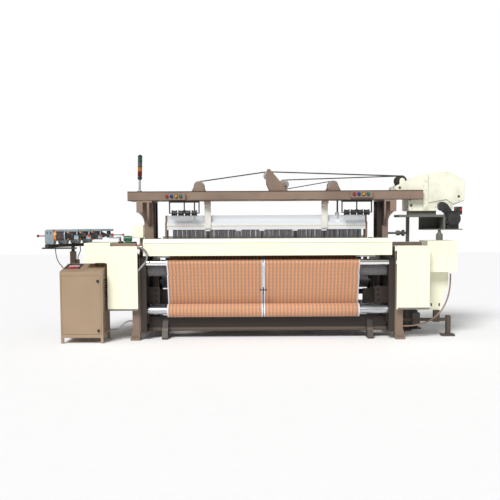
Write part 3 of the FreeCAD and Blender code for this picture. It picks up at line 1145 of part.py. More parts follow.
def dobby_housing():
    outline = [("dobby_toe", "dobby_low"), ("notch_left", "dobby_low"), ("notch_left", "notch_low", "notch_radius"),
               ("notch_right", "notch_low"), ("notch_right+12", "jaw_low+26"), ("notch_right+44", "jaw_low"),
               ("dobby_right-118", "jaw_low+20"), ("dobby_right-115", "jaw_low+56"), ("dobby_right-3", "dobby_chin-24"),
               ("dobby_right", "dobby_corner"), ("dobby_right-110", "dobby_corner+64"), ("dobby_top_x", "dobby_top"),
               ("dobby_ridge_x", "dobby_ridge"), ("dobby_shoulder_x", "dobby_shoulder"),
               ("dobby_brow_x", "dobby_brow"), ("dobby_nose", "dobby_nose_high"), ("dobby_nose", "dobby_nose_low"),
               ("dobby_left", "dobby_chin"), ("dobby_left", "dobby_low+10")]
    casting = plate("dobby_casting", "y", outline, ("dobby_front", "dobby_back"))
    mouth = box("jack_mouth", ("dobby_nose-20", "cheek_right"), ("cheek_front", "cheek_back"),
                ("dobby_chin+40", "dobby_brow+90"))
    pin = rod("jack_pin", "y", ("jack_centre_x", "jack_centre_z"), "jack_pin", ("cheek_front-2", "cheek_back+2"))
    lugs = []
    for span in (("cheek_front-lug_thick", "cheek_front"), ("cheek_back", "cheek_back+lug_thick")):
        lugs.append(rod("jack_lug", "y", ("jack_centre_x", "jack_centre_z"), "lug_radius", span))
        lugs.append(box("lug_web", ("jack_centre_x-lug_radius", "jack_centre_x+lug_radius"), span,
                        ("dobby_nose_high", "jack_centre_z")))
    cover = plate("dobby_cover", "y", [
        ("dobby_ridge_x", "dobby_chin-40"), ("notch_right", "notch_low+60"), ("dobby_right-120", "dobby_chin-56"),
        ("dobby_right-plate_inset", "dobby_chin-16"), ("dobby_right-plate_inset", "dobby_corner-6"),
        ("dobby_right-116", "dobby_corner+54"), ("dobby_top_x-4", "dobby_top-plate_inset"),
        ("dobby_ridge_x", "dobby_ridge-plate_inset")], ("dobby_front-plate_thick", "dobby_front"))
    ridge = plate("dobby_ridge", "y", [
        ("ridge_left", "dobby_low+12"), ("ridge_left+ridge_wide", "dobby_low+12"),
        ("ridge_left+ridge_wide", "dobby_shoulder"), ("ridge_left", "dobby_shoulder-10")],
        ("dobby_front-plate_thick*1.6", "dobby_front"))
    lip = box("dobby_lip", ("dobby_toe", "notch_left"), ("dobby_front-plate_thick", "dobby_front"),
              ("dobby_low", "dobby_low+14"))
    middle = "ridge_left+ridge_wide/2"
    bolts = bolt_heads([(middle, "dobby_low+%d" % height) for height in (40, 130, 220, 310)],
                       "dobby_front-plate_thick*1.6")
    bolts += bolt_heads([("dobby_right-60", "dobby_chin-10")], "dobby_front-plate_thick")
    bolts += bolt_heads([("dobby_toe+20", "dobby_low+29"), ("notch_left-14", "dobby_low+47")], "dobby_front")
    node("dobby_housing", fuse("dobby_whole", cut("dobby_mouthed", casting, mouth), pin, *lugs, cover, ridge, lip,
                               *bolts))


def dobby_stand():
    rail = box("dobby_rail", ("dobby_toe", "notch_left"), ("stand_front+10", "stand_front+stand_deep-10"),
               ("stand_top", "dobby_low"))
    top = box("stand_top", ("stand_left", "stand_right"), ("stand_front-120", "stand_front+stand_deep"),
              ("stand_top-stand_plate*2", "stand_top"))
    side = box("stand_side", ("stand_right-stand_plate*1.6", "stand_right"), ("shelf_front", "stand_front+stand_deep"),
               ("shelf_low+shelf_thick", "stand_top-stand_plate*2"))
    back = box("stand_back", ("dobby_shoulder_x", "stand_right-stand_plate"),
               ("stand_front+stand_deep-stand_plate", "stand_front+stand_deep"),
               ("stand_wall_low", "stand_top-stand_plate*2"))
    shelf = box("stand_shelf", ("dobby_shoulder_x", "shelf_right"), ("shelf_front", "stand_front+stand_deep"),
                ("shelf_low", "shelf_low+shelf_thick"))
    bracket = fuse("stand_bracket", top, side, back, shelf)
    post = fuse("stand_post", box("stand_column", ("post_left", "post_left+post_wide"),
                                  ("post_front", "post_front+post_deep"), ("post_foot", "stand_top-stand_plate*2")),
                box("post_sole", ("post_left-30", "post_left+post_wide+30"),
                    ("post_front-20", "post_front+post_deep+10"), ("0", "post_foot")))
    middle = ("cross_y", "cross_z")
    cross = fuse("cross_shaft", rod("cross_bar", "x", middle, "cross_radius", ("arch_web_in+arch_web", "post_left")),
                 rod("coupling", "x", middle, "coupling_radius", ("post_left-104", "post_left-70")),
                 rod("coupling", "x", middle, "coupling_radius*0.7", ("post_left-70", "post_left-44")),
                 rod("coupling", "x", middle, "coupling_radius*1.25", ("post_left-44", "post_left-20")))
    bottle = turned("stand_bottle", "z", ("bottle_x", "bottle_y"), [
        ("box_high", "0"), ("box_high", "bottle_radius"), ("shelf_low-48", "bottle_radius"),
        ("shelf_low-22", "bottle_neck"), ("shelf_low", "bottle_neck"), ("shelf_low", "0")])
    beam = box("outrigger_bar", ("frame_out", "outrig_end"), ("outrig_y-outrig_half", "outrig_y+outrig_half"),
               ("outrig_z-outrig_half", "outrig_z+outrig_half"))
    foot = box("outrigger_foot", ("outrig_end", "outrig_foot"), ("outrig_y-outrig_half*2", "outrig_y+outrig_half*2"),
               ("0", "outrig_high"))
    sole = box("outrigger_sole", ("outrig_end-50", "outrig_foot+40"),
               ("outrig_y-outrig_half*3", "outrig_y+outrig_half*3"), ("0", "post_foot"))
    hanger = box("panel_hanger", ("hanger_left", "hanger_right"), ("outrig_y-outrig_half-8", "outrig_y+outrig_half+8"),
                 ("outrig_z-outrig_half-8", "panel_low"))
    knuckle = box("bar_knuckle", ("knuckle_left", "knuckle_right"),
                  ("outrig_y-outrig_half-14", "outrig_y+outrig_half+14"), ("outrig_z-40", "outrig_z+70"))
    outrigger = fuse("outrigger", beam, foot, sole, hanger, knuckle)
    node("dobby_stand", rail, bracket, post, cross, bottle, outrigger)


dobby_motor_sizes = {
    "dobby_motor_x": 1893, "dobby_motor_z": 1172, "dobby_motor_radius": 74, "dobby_motor_front": 415,
    "dobby_motor_back": 560, "dobby_fins": 7, "reducer_radius": 46, "reducer_front": 470,
    "terminal_left": 1930, "terminal_right": 1984, "terminal_low": 1212, "terminal_high": 1292,
    "stop_button": 13.5, "stop_z": 1261, "stop_high": 12
}
keep_sizes(dobby_motor_sizes)


def dobby_motor():
    centre = ("dobby_motor_x", "dobby_motor_z")
    parts = [rod("dobby_motor_shell", "y", centre, "dobby_motor_radius", ("dobby_motor_front", "dobby_motor_back")),
             rod("dobby_motor_cap", "y", centre, "dobby_motor_radius-14", ("dobby_motor_front-22", "dobby_motor_front")),
             box("dobby_motor_foot", ("dobby_motor_x-54", "dobby_motor_x+62"), ("dobby_motor_front+20", "dobby_motor_back-10"),
                 ("shelf_low+shelf_thick", "dobby_motor_z-40")),
             rod("reducer", "y", ("notch_left+notch_radius-4", "notch_low-16"), "reducer_radius",
                 ("reducer_front", "dobby_front-plate_thick-3")),
             plate("reducer_arm", "y", [
                 ("notch_left+14", "notch_low-36"), ("dobby_motor_x-46", "dobby_motor_z+30"),
                 ("dobby_motor_x+20", "dobby_motor_z+58"), ("notch_right-6", "notch_low+14")],
                 ("reducer_front+6", "dobby_front-plate_thick-8")),
             box("terminal_box", ("terminal_left", "terminal_right"), ("dobby_motor_front+6", "dobby_motor_back-30"),
                 ("terminal_low", "terminal_high")),
             rod("stop_button", "y", ("terminal_right-17", "stop_z"), "stop_button",
                 ("dobby_motor_front+6-stop_high", "dobby_motor_front+6"))]
    for number in range(int(sizes["dobby_fins"])):
        start = "dobby_motor_front+8+%d*19" % number
        parts.append(rod("motor_fin", "y", centre, "dobby_motor_radius+5", (start, start + "+6")))
    node("dobby_motor", fuse("dobby_motor_whole", *parts))


dobby_housing()
dobby_stand()
dobby_motor()


# ---- signal tower and the two button boxes on the front channel
signal_sizes = {
    "tower_x": -1289, "tower_pole": 8, "lamp_low": 1583, "lamp_high": 1839, "lamp_radius": 22.5,
    "lamp_count": 4, "lamp_cup": 30, "lamp_joint": 8, "left_box_x": -1049, "left_box_z": 1376,
    "right_box_x": 853, "right_box_z": 1391, "button_box_wide": 225, "button_box_high": 64,
    "button_box_deep": 34, "button_first": 38, "button_pitch": 47, "button_radius": 9, "button_travel": 8,
    "button_rise": 27, "buttons": 4
}
keep_sizes(signal_sizes)


def signal_tower():
    y = "front_channel+channel_flange/2"
    pitch = "((lamp_high-lamp_low-lamp_cup-lamp_radius)/lamp_count)"
    profile = [("beam_high", "0"), ("beam_high", "tower_pole*3"), ("beam_high+8", "tower_pole*3"),
               ("beam_high+8", "tower_pole"), ("lamp_low", "tower_pole"), ("lamp_low+6", "lamp_radius*0.8"),
               ("lamp_low+14", "lamp_radius"), ("lamp_low+lamp_cup-2", "lamp_radius"),
               ("lamp_low+lamp_cup", "lamp_radius-2")]
    for number in range(int(sizes["lamp_count"])):
        low = "lamp_low+lamp_cup+%d*%s" % (number, pitch)
        high = "lamp_low+lamp_cup+%d*%s" % (number + 1, pitch)
        profile += [(low + "+lamp_joint/2", "lamp_radius"), (high + "-lamp_joint/2", "lamp_radius"),
                    (high, "lamp_radius-2")]
    profile += [("lamp_high-lamp_radius+lamp_joint", "lamp_radius"), ("lamp_high-6", "lamp_radius*0.8"),
                ("lamp_high", "lamp_radius*0.4"), ("lamp_high", "0")]
    node("signal_tower", turned("tower", "z", ("tower_x", y), profile))


def button_boxes():
    pieces = []
    for left, low in (("left_box_x", "left_box_z"), ("right_box_x", "right_box_z")):
        face = "front_channel-button_box_deep"
        parts = [box("button_box", (left, left + "+button_box_wide"), (face, "front_channel"),
                     (low, low + "+button_box_high"))]
        for number in range(int(sizes["buttons"])):
            x = left + "+button_first+%d*button_pitch" % number
            parts.append(rod("loom_button", "y", (x, low + "+button_rise"), "button_radius",
                             (face + "-button_travel", face)))
        pieces.append(fuse("buttoned_box", *parts))
    node("button_boxes", *pieces)


signal_tower()
button_boxes()


# ---- control cabinet: shell, door, two latches and two push buttons
cabinet_sizes = {
    "cab_left": -1973, "cab_right": -1570, "cab_front": -120, "cab_back": 230, "cab_base": 55,
    "cab_front_top": 686, "cab_back_top": 745, "cab_sheet": 3, "cab_leg": 25, "door_left": -1959,
    "door_right": -1584, "door_low": 87, "door_high": 648, "door_gap": 2, "door_thick": 3, "door_fold": 14,
    "hinge_in": 3, "hinge_pin": 2, "hinge_block": 8, "hinge_high": 18, "hinge_play": 0.5, "latch_play": 0.3,
    "louvres": 20, "louvre_first": 112, "louvre_pitch": 26, "louvre_high": 13, "louvre_out": 5,
    "louvre_front": -66, "louvre_back": 178, "latch_x": -1612, "latch_top_z": 594, "latch_low_z": 122,
    "latch_stem": 6, "latch_head": 13, "latch_out": 9, "latch_tongue": 26, "tongue_half": 6,
    "tongue_thick": 3, "keeper_reach": 27, "keeper_gap": 3, "keeper_thick": 3, "keeper_half": 10, "keeper_play": 1, "push_front_x": -1676, "push_front_y": 65, "push_back_x": -1684, "push_back_y": 186,
    "push_radius": 12, "push_stem": 5, "push_high": 12, "push_gap": 4, "push_tail": 14, "bezel_radius": 17,
    "bezel_high": 5, "pad_left": -1962, "pad_right": -1806, "pad_front": -20, "pad_back": 190,
    "pad_thick": 3, "cable_end_x": -1950, "cable_end_z": 488, "gland_radius": 9, "gland_long": 14,
    "conduit_z": 100, "conduit_gland": 16, "conduit_gland_long": 22, "conduit_y": 100
}
keep_sizes(cabinet_sizes)


def slope(y):
    """The height of the cabinet's sloping top at a place along Y."""
    return "(cab_front_top+(cab_back_top-cab_front_top)*((%s)-cab_front)/(cab_back-cab_front))" % y


def tilted(thing, x, y, lift="0"):
    """Stands a turned piece upright on the sloping top."""
    pitch = math.degrees(math.atan2(value("cab_back_top-cab_front_top"), value("cab_back-cab_front")))
    thing.Placement.Rotation = FreeCAD.Rotation(Vector(1, 0, 0), pitch).multiply(thing.Placement.Rotation)
    return place(thing, x, y, slope(y))


def pushes():
    return (("front", "push_front_x", "push_front_y"), ("back", "push_back_x", "push_back_y"))


def cabinet():
    width = ("cab_left", "cab_right")
    body = plate("cab_body", "x", [("cab_front", "cab_base"), ("cab_back", "cab_base"), ("cab_back", "cab_back_top"),
                                   ("cab_front", "cab_front_top")], width)
    room = plate("cab_room", "x", [
        ("cab_front+cab_sheet", "cab_base+cab_sheet"), ("cab_back-cab_sheet", "cab_base+cab_sheet"),
        ("cab_back-cab_sheet", "cab_back_top-cab_sheet"), ("cab_front+cab_sheet", "cab_front_top-cab_sheet")],
        ("cab_left+cab_sheet", "cab_right-cab_sheet"))
    doorway = box("cab_doorway", ("door_left", "door_right"), ("cab_front-1", "cab_front+cab_sheet+1"),
                  ("door_low", "door_high"))
    legs = [box("cab_leg", (x, x + "+cab_leg"), (y, y + "+cab_leg"), ("0", "cab_base"))
            for x in ("cab_left", "cab_right-cab_leg") for y in ("cab_front", "cab_back-cab_leg")]
    ridges = []
    for number in range(int(sizes["louvres"])):
        low = "louvre_first+%d*louvre_pitch" % number
        ridges.append(plate("louvre", "y", [
            ("cab_right", low), ("cab_right+louvre_out", low), ("cab_right", low + "+louvre_high")],
            ("louvre_front", "louvre_back")))
    bezels, holes = [], []
    for name, x, y in pushes():
        bezels.append(tilted(turned("push_bezel", "z", ("0", "0"), [
            ("-1", "push_radius+0.5"), ("bezel_high", "push_radius+0.5"), ("bezel_high", "bezel_radius-1"),
            ("bezel_high-1", "bezel_radius"), ("-1", "bezel_radius")]), x, y))
        holes.append(tilted(turned("push_hole", "z", ("0", "0"), [
            ("-20", "0"), ("-20", "push_stem+bearing_bore_gap"), ("20", "push_stem+bearing_bore_gap"), ("20", "0")]),
            x, y))
    pad = plate("keypad", "x", [
        ("pad_front", slope("pad_front")), ("pad_back", slope("pad_back")), ("pad_back", slope("pad_back") + "+pad_thick"),
        ("pad_front", slope("pad_front") + "+pad_thick")], ("pad_left", "pad_right"))
    glands = [rod("cable_gland", "y", ("cable_end_x", "cable_end_z"), "gland_radius",
                  ("cab_back", "cab_back+gland_long")),
              rod("conduit_gland", "x", ("conduit_y", "conduit_z"), "conduit_gland",
                  ("cab_right", "cab_right+conduit_gland_long"))]
    hinges = []
    for low, high, pin_low, pin_high in (
            ("door_high+hinge_play", "door_high+hinge_high", "door_high-hinge_high", "door_high+hinge_high/2"),
            ("door_low-hinge_high", "door_low-hinge_play", "door_low-hinge_high/2", "door_low+hinge_high")):
        hinges.append(box("hinge_lug", ("door_left-hinge_block", "door_left+door_gap+hinge_in+hinge_block"),
                          ("cab_front+cab_sheet/2", "cab_front+cab_sheet+hinge_block"), (low, high)))
        hinges.append(rod("hinge_pin", "z", ("door_left+door_gap+hinge_in", "cab_front+hinge_in"), "hinge_pin",
                          (pin_low, pin_high)))
    shell = fuse("cab_whole", cut("cab_shell", body, room, doorway), *legs, *ridges, *bezels, pad, *glands, *hinges)
    # a keeper stands on the side wall behind the door's fold for each latch tongue to turn behind
    keepers = [box("latch_keeper", ("cab_right-cab_sheet-keeper_reach", "cab_right-cab_sheet"),
                   ("cab_front+door_fold+keeper_gap", "cab_front+door_fold+keeper_gap+keeper_thick"),
                   (z + "-keeper_half", z + "+keeper_half")) for z in ("latch_top_z", "latch_low_z")]
    node("cabinet_shell", cut("cab_drilled", shell, *holes), *keepers)


def cabinet_door():
    tray = box("door_plate", ("door_left+door_gap", "door_right-door_gap"), ("cab_front", "cab_front+door_thick"),
               ("door_low+door_gap", "door_high-door_gap"))
    rims = cut("door_rim", box("door_rim_outside", ("door_left+door_gap+6", "door_right-door_gap-4"),
                               ("cab_front+door_thick", "cab_front+door_fold"),
                               ("door_low+door_gap+4", "door_high-door_gap-4")),
               box("door_rim_inside", ("door_left+door_gap+6+door_thick", "door_right-door_gap-4-door_thick"),
                   ("cab_front+door_thick-1", "cab_front+door_fold+1"),
                   ("door_low+door_gap+4+door_thick", "door_high-door_gap-4-door_thick")))
    holes = []
    for z in ("latch_top_z", "latch_low_z"):
        holes.append(rod("latch_hole", "y", ("latch_x", z), "latch_stem+bearing_bore_gap",
                         ("cab_front-5", "cab_front+9")))
    blocks = []
    for low, high in (("door_high-door_gap-hinge_high", "door_high-door_gap"),
                      ("door_low+door_gap", "door_low+door_gap+hinge_high")):
        blocks.append(box("hinge_block", ("door_left+door_gap", "door_left+door_gap+hinge_in+hinge_block"),
                          ("cab_front", "cab_front+hinge_in+hinge_block"), (low, high)))
        holes.append(rod("hinge_bore", "z", ("door_left+door_gap+hinge_in", "cab_front+hinge_in"),
                         "hinge_pin+bearing_bore_gap", (low + "-1", high + "+1")))
    node("cabinet_door", cut("door_drilled", fuse("door_folded", tray, rims, *blocks), *holes))
    for name, z in (("upper_latch", "latch_top_z"), ("lower_latch", "latch_low_z")):
        face = "cab_front+door_fold+keeper_gap+keeper_thick+keeper_play"
        node(name, fuse(name + "_whole",
                        rod("latch_stem", "y", ("latch_x", z), "latch_stem", ("cab_front-latch_out", face + "+2")),
                        rod("latch_head", "y", ("latch_x", z), "latch_head",
                            ("cab_front-latch_out", "cab_front-latch_play")),
                        box("latch_grip", ("latch_x-4", "latch_x+4"), ("cab_front-latch_out-9", "cab_front-latch_out"),
                            (z + "-latch_head+1", z + "+latch_head-1")),
                        box("latch_tongue", ("latch_x-tongue_half", "latch_x+tongue_half"), (face, face + "+tongue_thick"),
                            (z + "-tongue_half", z + "+latch_tongue"))))


def cabinet_buttons():
    for name, x, y in pushes():
        cap = turned("push_cap", "z", ("0", "0"), [
            ("-push_tail", "0"), ("-push_tail", "push_stem"), ("push_gap", "push_stem"), ("push_gap", "push_radius"),
            ("push_gap+push_high-2", "push_radius"), ("push_gap+push_high", "push_radius-3"), ("push_gap+push_high", "0")])
        node(name + "_button", tilted(cap, x, y))


cabinet()
cabinet_door()
cabinet_buttons()


# ---- cords and bent tubes, whose routes are chosen by hand
def bent_path(points, share=0.45):
    """Straight runs joined by arcs as large as the runs allow, with the radii of the arcs."""
    spots = [Vector(*point) for point in points]
    edges, radii, last = [], [], spots[0]
    for before, corner, after in zip(spots, spots[1:], spots[2:]):
        arriving, leaving = (corner - before).normalize(), (after - corner).normalize()
        turn = arriving.getAngle(leaving)
        reach = share * min((corner - before).Length, (after - corner).Length)
        radii.append(reach / math.tan(turn / 2))
        start, stop = corner - arriving * reach, corner + leaving * reach
        towards = (leaving - arriving).normalize()
        middle = corner + towards * (radii[-1] / math.cos(turn / 2) - radii[-1])
        edges.append(Part.makeLine(last, start))
        edges.append(Part.Arc(start, middle, stop).toShape())
        last = stop
    edges.append(Part.makeLine(last, spots[-1]))
    return Part.Wire(edges), radii


def bent_tube(name, points, radius):
    path, radii = bent_path(points)
    heading = (Vector(*points[1]) - Vector(*points[0])).normalize()
    ring = Part.Wire(Part.makeCircle(radius, Vector(*points[0]), heading))
    thing = doc.addObject("Part::Feature", unique(name))
    thing.Shape = path.makePipeShell([ring], True, False)
    print("%s: length %.0f, least radius %.0f, volume over section times length %.4f" % (
        name, path.Length, min(radii), thing.Shape.Volume / (math.pi * radius ** 2 * path.Length)))
    return thing


cable_sizes = {
    "brown_radius": 8, "grey_radius": 8, "feeder_cable_radius": 4.5
}
keep_sizes(cable_sizes)

BROWN_ROUTE = [(1822, 230, 625), (1822, 230, 562), (1818, 225, 500), (1807, 217, 440), (1789, 207, 382),
               (1765, 197, 325), (1732, 187, 272), (1690, 176, 226), (1642, 163, 188), (1588, 149, 159),
               (1531, 134, 140), (1471, 120, 129), (1414, 108, 124), (1366, 100, 122),
               (1318, 100, 122)]
GREY_ROUTE = [(-1548, 100, 100), (-1508, 100, 100), (-1464, 100, 112), (-1428, 100, 138), (-1398, 100, 170),
              (-1358, 100, 187), (-1318, 100, 187)]
FRONT_CABLE = [(-2068, 112, 940), (-2068, 116, 880), (-2066, 134, 822), (-2060, 168, 772), (-2044, 212, 730),
               (-2022, 252, 690), (-1998, 284, 646), (-1978, 304, 604), (-1966, 313, 566), (-1958, 315, 529),
               (-1953, 300, 503), (-1950, 274, 488), (-1950, 244, 488)]
POST_CABLE = [(-1910, 440, 940), (-1898, 438, 902), (-1896, 428, 864), (-1906, 412, 834), (-1918, 403, 806),
              (-1918, 403, 778)]


def cords():
    node("brown_conduit", bent_tube("brown_conduit_tube", BROWN_ROUTE, sizes["brown_radius"]))
    node("cabinet_cables", bent_tube("grey_conduit", GREY_ROUTE, sizes["grey_radius"]),
         bent_tube("front_feeder_cable", FRONT_CABLE, sizes["feeder_cable_radius"]),
         bent_tube("post_cable", POST_CABLE, sizes["feeder_cable_radius"]))


cords()


# ---- start lever on the breast beam's left end
lever_sizes = {
    "lever_radius": 9.5, "lever_boss": 14, "lever_elbow_x": -1156, "lever_elbow_z": 858,
    "lever_knee_x": -1162, "lever_knee_z": 780, "lever_end_x": -1246, "lever_end_z": 684
}
keep_sizes(lever_sizes)


def start_lever():
    points = [(sizes["lever_pivot_x"] + 8, sizes["lever_y"], sizes["lever_pivot_z"] - 8),
              (sizes["lever_elbow_x"], sizes["lever_y"], sizes["lever_elbow_z"]),
              (sizes["lever_knee_x"], sizes["lever_y"], sizes["lever_knee_z"]),
              (sizes["lever_end_x"], sizes["lever_y"], sizes["lever_end_z"])]
    arm = bent_tube("lever_tube", points, sizes["lever_radius"])
    span = ("lever_pivot_x-lever_boss_half", "lever_pivot_x+lever_boss_half")
    boss = rod("lever_boss", "x", ("lever_y", "lever_pivot_z"), "lever_boss", span)
    bore = rod("lever_bore", "x", ("lever_y", "lever_pivot_z"), "lever_pin+bearing_bore_gap",
               ("lever_pivot_x-20", "lever_pivot_x+20"))
    node("start_lever", cut("lever_bored", fuse("lever_whole", arm, boss), bore))


start_lever()


# ---- weft feeders on their stand, and the weft selector
feeder_sizes = {
    "feeders": 4, "feeder_step_x": 80, "feeder_step_y": 175, "feeder_x": -2106, "feeder_y": 90,
    "feeder_z": 1022, "inlet_long": 86, "inlet_radius": 5, "inlet_ring": 12, "housing_half": 44,
    "housing_deep": 46, "housing_low": 940, "housing_high": 1084, "ring_radius": 52, "ring_long": 20,
    "drum_radius": 47, "drum_long": 77, "drum_rim": 51, "drum_rim_long": 10, "nose_length": 55,
    "nose_end": 12, "tension_radius": 30, "tension_long": 26, "feeder_arm_high": 22, "feeder_arm_deep": 14,
    "ball_rod": 4, "ball_radius": 12.5, "feeder_tip": -1731, "feeder_box": 40, "stand_bar_high": 30,
    "stand_bar_wide": 40, "stand_post_x": -1964, "stand_post_y": 400, "stand_post_half": 27,
    "stand_neck_half": 15, "stand_neck_from": 860, "stand_sole": 200, "stand_toe": 40,
    "stand_sole_thick": 16, "stand_cross_left": -2190, "stand_cross_right": -1856, "stand_cross_high": 15,
    "stand_cross_front": 84, "stand_cross_deep": 22, "post_box_deep": 34, "post_box_half": 20,
    "post_box_top": 778, "post_box_high": 60
}
keep_sizes(feeder_sizes)


def feeder(number):
    x = "(feeder_x+%d*feeder_step_x)" % number
    y = "(feeder_y+%d*feeder_step_y)" % number
    front = x + "+housing_half"
    drum = "ring_long+drum_long+drum_rim_long"
    shell = plate("feeder_housing", "y", [
        (x + "-housing_half+10", "housing_low"), (front + "-10", "housing_low"), (front, "housing_low+10"),
        (front, "housing_high"), (x + "-housing_half+16", "housing_high"), (x + "-housing_half", "housing_high-16"),
        (x + "-housing_half", "housing_low+10")], (y + "-housing_deep", y + "+housing_deep"))
    barrel = turned("feeder_drum", "x", (y, "feeder_z"), [
        (front, "0"), (front, "ring_radius"), (front + "+ring_long", "ring_radius"),
        (front + "+ring_long", "drum_radius"), (front + "+ring_long+drum_long", "drum_radius"),
        (front + "+ring_long+drum_long", "drum_rim"), (front + "+" + drum, "drum_rim"),
        (front + "+" + drum, "nose_end*2.4"), (front + "+" + drum + "+nose_length", "nose_end"),
        (front + "+" + drum + "+nose_length", "tension_radius"),
        (front + "+" + drum + "+nose_length+tension_long", "tension_radius-8"),
        (front + "+" + drum + "+nose_length+tension_long", "ball_rod"),
        ("feeder_tip+%d*feeder_step_x" % number, "ball_rod"), ("feeder_tip+%d*feeder_step_x" % number, "0")])
    inlet = turned("feeder_inlet", "x", (y, "feeder_z"), [
        (x + "-housing_half-inlet_long", "0"), (x + "-housing_half-inlet_long", "inlet_ring"),
        (x + "-housing_half-inlet_long+18", "inlet_ring"), (x + "-housing_half-inlet_long+18", "inlet_radius"),
        (x + "-housing_half", "inlet_radius"), (x + "-housing_half", "0")])
    arm_end = front + "+" + drum + "+nose_length+tension_long+feeder_box"
    arm = box("feeder_arm", (front, arm_end), (y + "-feeder_arm_deep", y + "+feeder_arm_deep"),
              ("housing_high-feeder_arm_high", "housing_high"))
    drop = box("feeder_drop", (front + "+" + drum + "+nose_length", front + "+" + drum + "+nose_length+tension_long"),
               (y + "-feeder_arm_deep", y + "+feeder_arm_deep"), ("feeder_z", "housing_high-feeder_arm_high+2"))
    unit = box("feeder_unit", (arm_end + "-feeder_box", arm_end), (y + "-18", y + "+18"),
               ("feeder_z-34", "feeder_z+14"))
    link = box("feeder_link", (arm_end + "-feeder_box", arm_end + "-feeder_box+12"), (y + "-8", y + "+8"),
               ("feeder_z+10", "housing_high-feeder_arm_high+2"))
    knob = ball("feeder_ball", ("feeder_tip+%d*feeder_step_x" % number, y, "feeder_z"), "ball_radius")
    return fuse("feeder", shell, barrel, inlet, arm, drop, unit, link, knob)


def weft_feeders():
    node("weft_feeders", *[feeder(number) for number in range(int(sizes["feeders"]))])


def feeder_stand():
    angle = math.atan2(sizes["feeder_step_y"], sizes["feeder_step_x"])
    bar = doc.addObject("Part::Box", unique("stand_bar"))
    length = "sqrt(feeder_step_x*feeder_step_x+feeder_step_y*feeder_step_y)"
    bind(bar, "Length", length + "*(feeders-1)+120")
    bind(bar, "Width", "stand_bar_wide")
    bind(bar, "Height", "stand_bar_high")
    bar.Placement.Rotation = FreeCAD.Rotation(Vector(0, 0, 1), math.degrees(angle))
    place(bar, "feeder_x-60*feeder_step_x/%s+stand_bar_wide/2*feeder_step_y/%s" % (length, length),
          "feeder_y-60*feeder_step_y/%s-stand_bar_wide/2*feeder_step_x/%s" % (length, length),
          "housing_low-stand_bar_high")
    middle = "stand_post_x"
    post = box("stand_post", (middle + "-stand_post_half", middle + "+stand_post_half"),
               ("stand_post_y-stand_post_half", "stand_post_y+stand_post_half"), ("stand_sole_thick", "stand_neck_from"))
    neck = box("stand_neck", (middle + "-stand_neck_half", middle + "+stand_neck_half"),
               ("stand_post_y-stand_neck_half", "stand_post_y+stand_neck_half"),
               ("stand_neck_from", "housing_low-stand_bar_high"))
    sole = box("stand_sole", (middle + "-stand_toe", middle + "+stand_sole"),
               ("stand_post_y-stand_sole+60", "stand_post_y+stand_sole"), ("0", "stand_sole_thick"))
    cross = box("stand_cross", ("stand_cross_left", "stand_cross_right"),
                ("stand_cross_front", "stand_cross_front+stand_cross_deep"),
                ("housing_low-stand_bar_high-stand_cross_high", "housing_low-stand_bar_high"))
    gland = box("post_terminal", (middle + "+stand_post_half", middle + "+stand_post_half+post_box_deep"),
                ("stand_post_y-post_box_half", "stand_post_y+post_box_half"), ("post_box_top-post_box_high", "post_box_top"))
    node("feeder_stand", fuse("feeder_stand_whole", bar, post, neck, sole, cross, gland))


selector_sizes = {
    "tray_left": -1508, "tray_right": -1266, "tray_front": 22, "tray_back": 132, "tray_thick": 16,
    "selector_left": -1440, "selector_right": -1400, "fingers": 4, "finger_pitch": 22, "finger_long": 52,
    "finger_high": 46, "finger_thick": 6, "selector_motor_left": -1392, "selector_motor_right": -1314,
    "selector_motor_radius": 27, "selector_motor_y": 78, "small_box_left": -1310, "small_box_right": -1207,
    "small_box_low": 998, "small_box_high": 1122, "small_box_front": 96, "small_box_back": 200,
    "small_stay_left": -1248, "small_stay_right": -1214, "small_stay_front": 150, "small_stay_back": 190
}
keep_sizes(selector_sizes)


def weft_selector():
    tray = box("selector_tray", ("tray_left", "tray_right"), ("tray_front", "tray_back"),
               ("notch_top", "notch_top+tray_thick"))
    lip = box("selector_lip", ("tray_left", "tray_right"), ("tray_front", "tray_front+4"),
              ("notch_top+tray_thick", "notch_top+tray_thick*1.8"))
    block = box("selector_block", ("selector_left", "selector_right"), ("tray_front+14", "tray_back-8"),
                ("notch_top+tray_thick", "notch_top+tray_thick+30"))
    fingers = []
    for number in range(int(sizes["fingers"])):
        y = "tray_front+20+%d*finger_pitch" % number
        fingers.append(plate("selector_finger", "y", [
            ("selector_left+6", "notch_top+tray_thick+28"), ("selector_left+20", "notch_top+tray_thick+28"),
            ("selector_left+14", "notch_top+tray_thick+28+finger_high"),
            ("selector_left-finger_long", "notch_top+tray_thick+20+finger_high"),
            ("selector_left-finger_long+2", "notch_top+tray_thick+12+finger_high"),
            ("selector_left+4", "notch_top+tray_thick+14+finger_high")], (y, y + "+finger_thick")))
    stand = box("selector_stand", ("selector_motor_left+10", "selector_motor_right-10"),
                ("selector_motor_y-20", "selector_motor_y+20"),
                ("notch_top+tray_thick", "notch_top+tray_thick+38"))
    motor = rod("selector_motor", "x", ("selector_motor_y", "notch_top+tray_thick+38+selector_motor_radius-8"),
                "selector_motor_radius", ("selector_motor_left", "selector_motor_right"))
    small = fuse("small_box_on_stay", box("small_box", ("small_box_left", "small_box_right"),
                                          ("small_box_front", "small_box_back"), ("small_box_low", "small_box_high")),
                 box("small_stay", ("small_stay_left", "small_stay_right"), ("small_stay_front", "small_stay_back"),
                     ("beam_top", "small_box_low")))
    node("weft_selector", fuse("selector_whole", tray, lip, block, *fingers, stand, motor), small)


weft_feeders()
feeder_stand()
weft_selector()


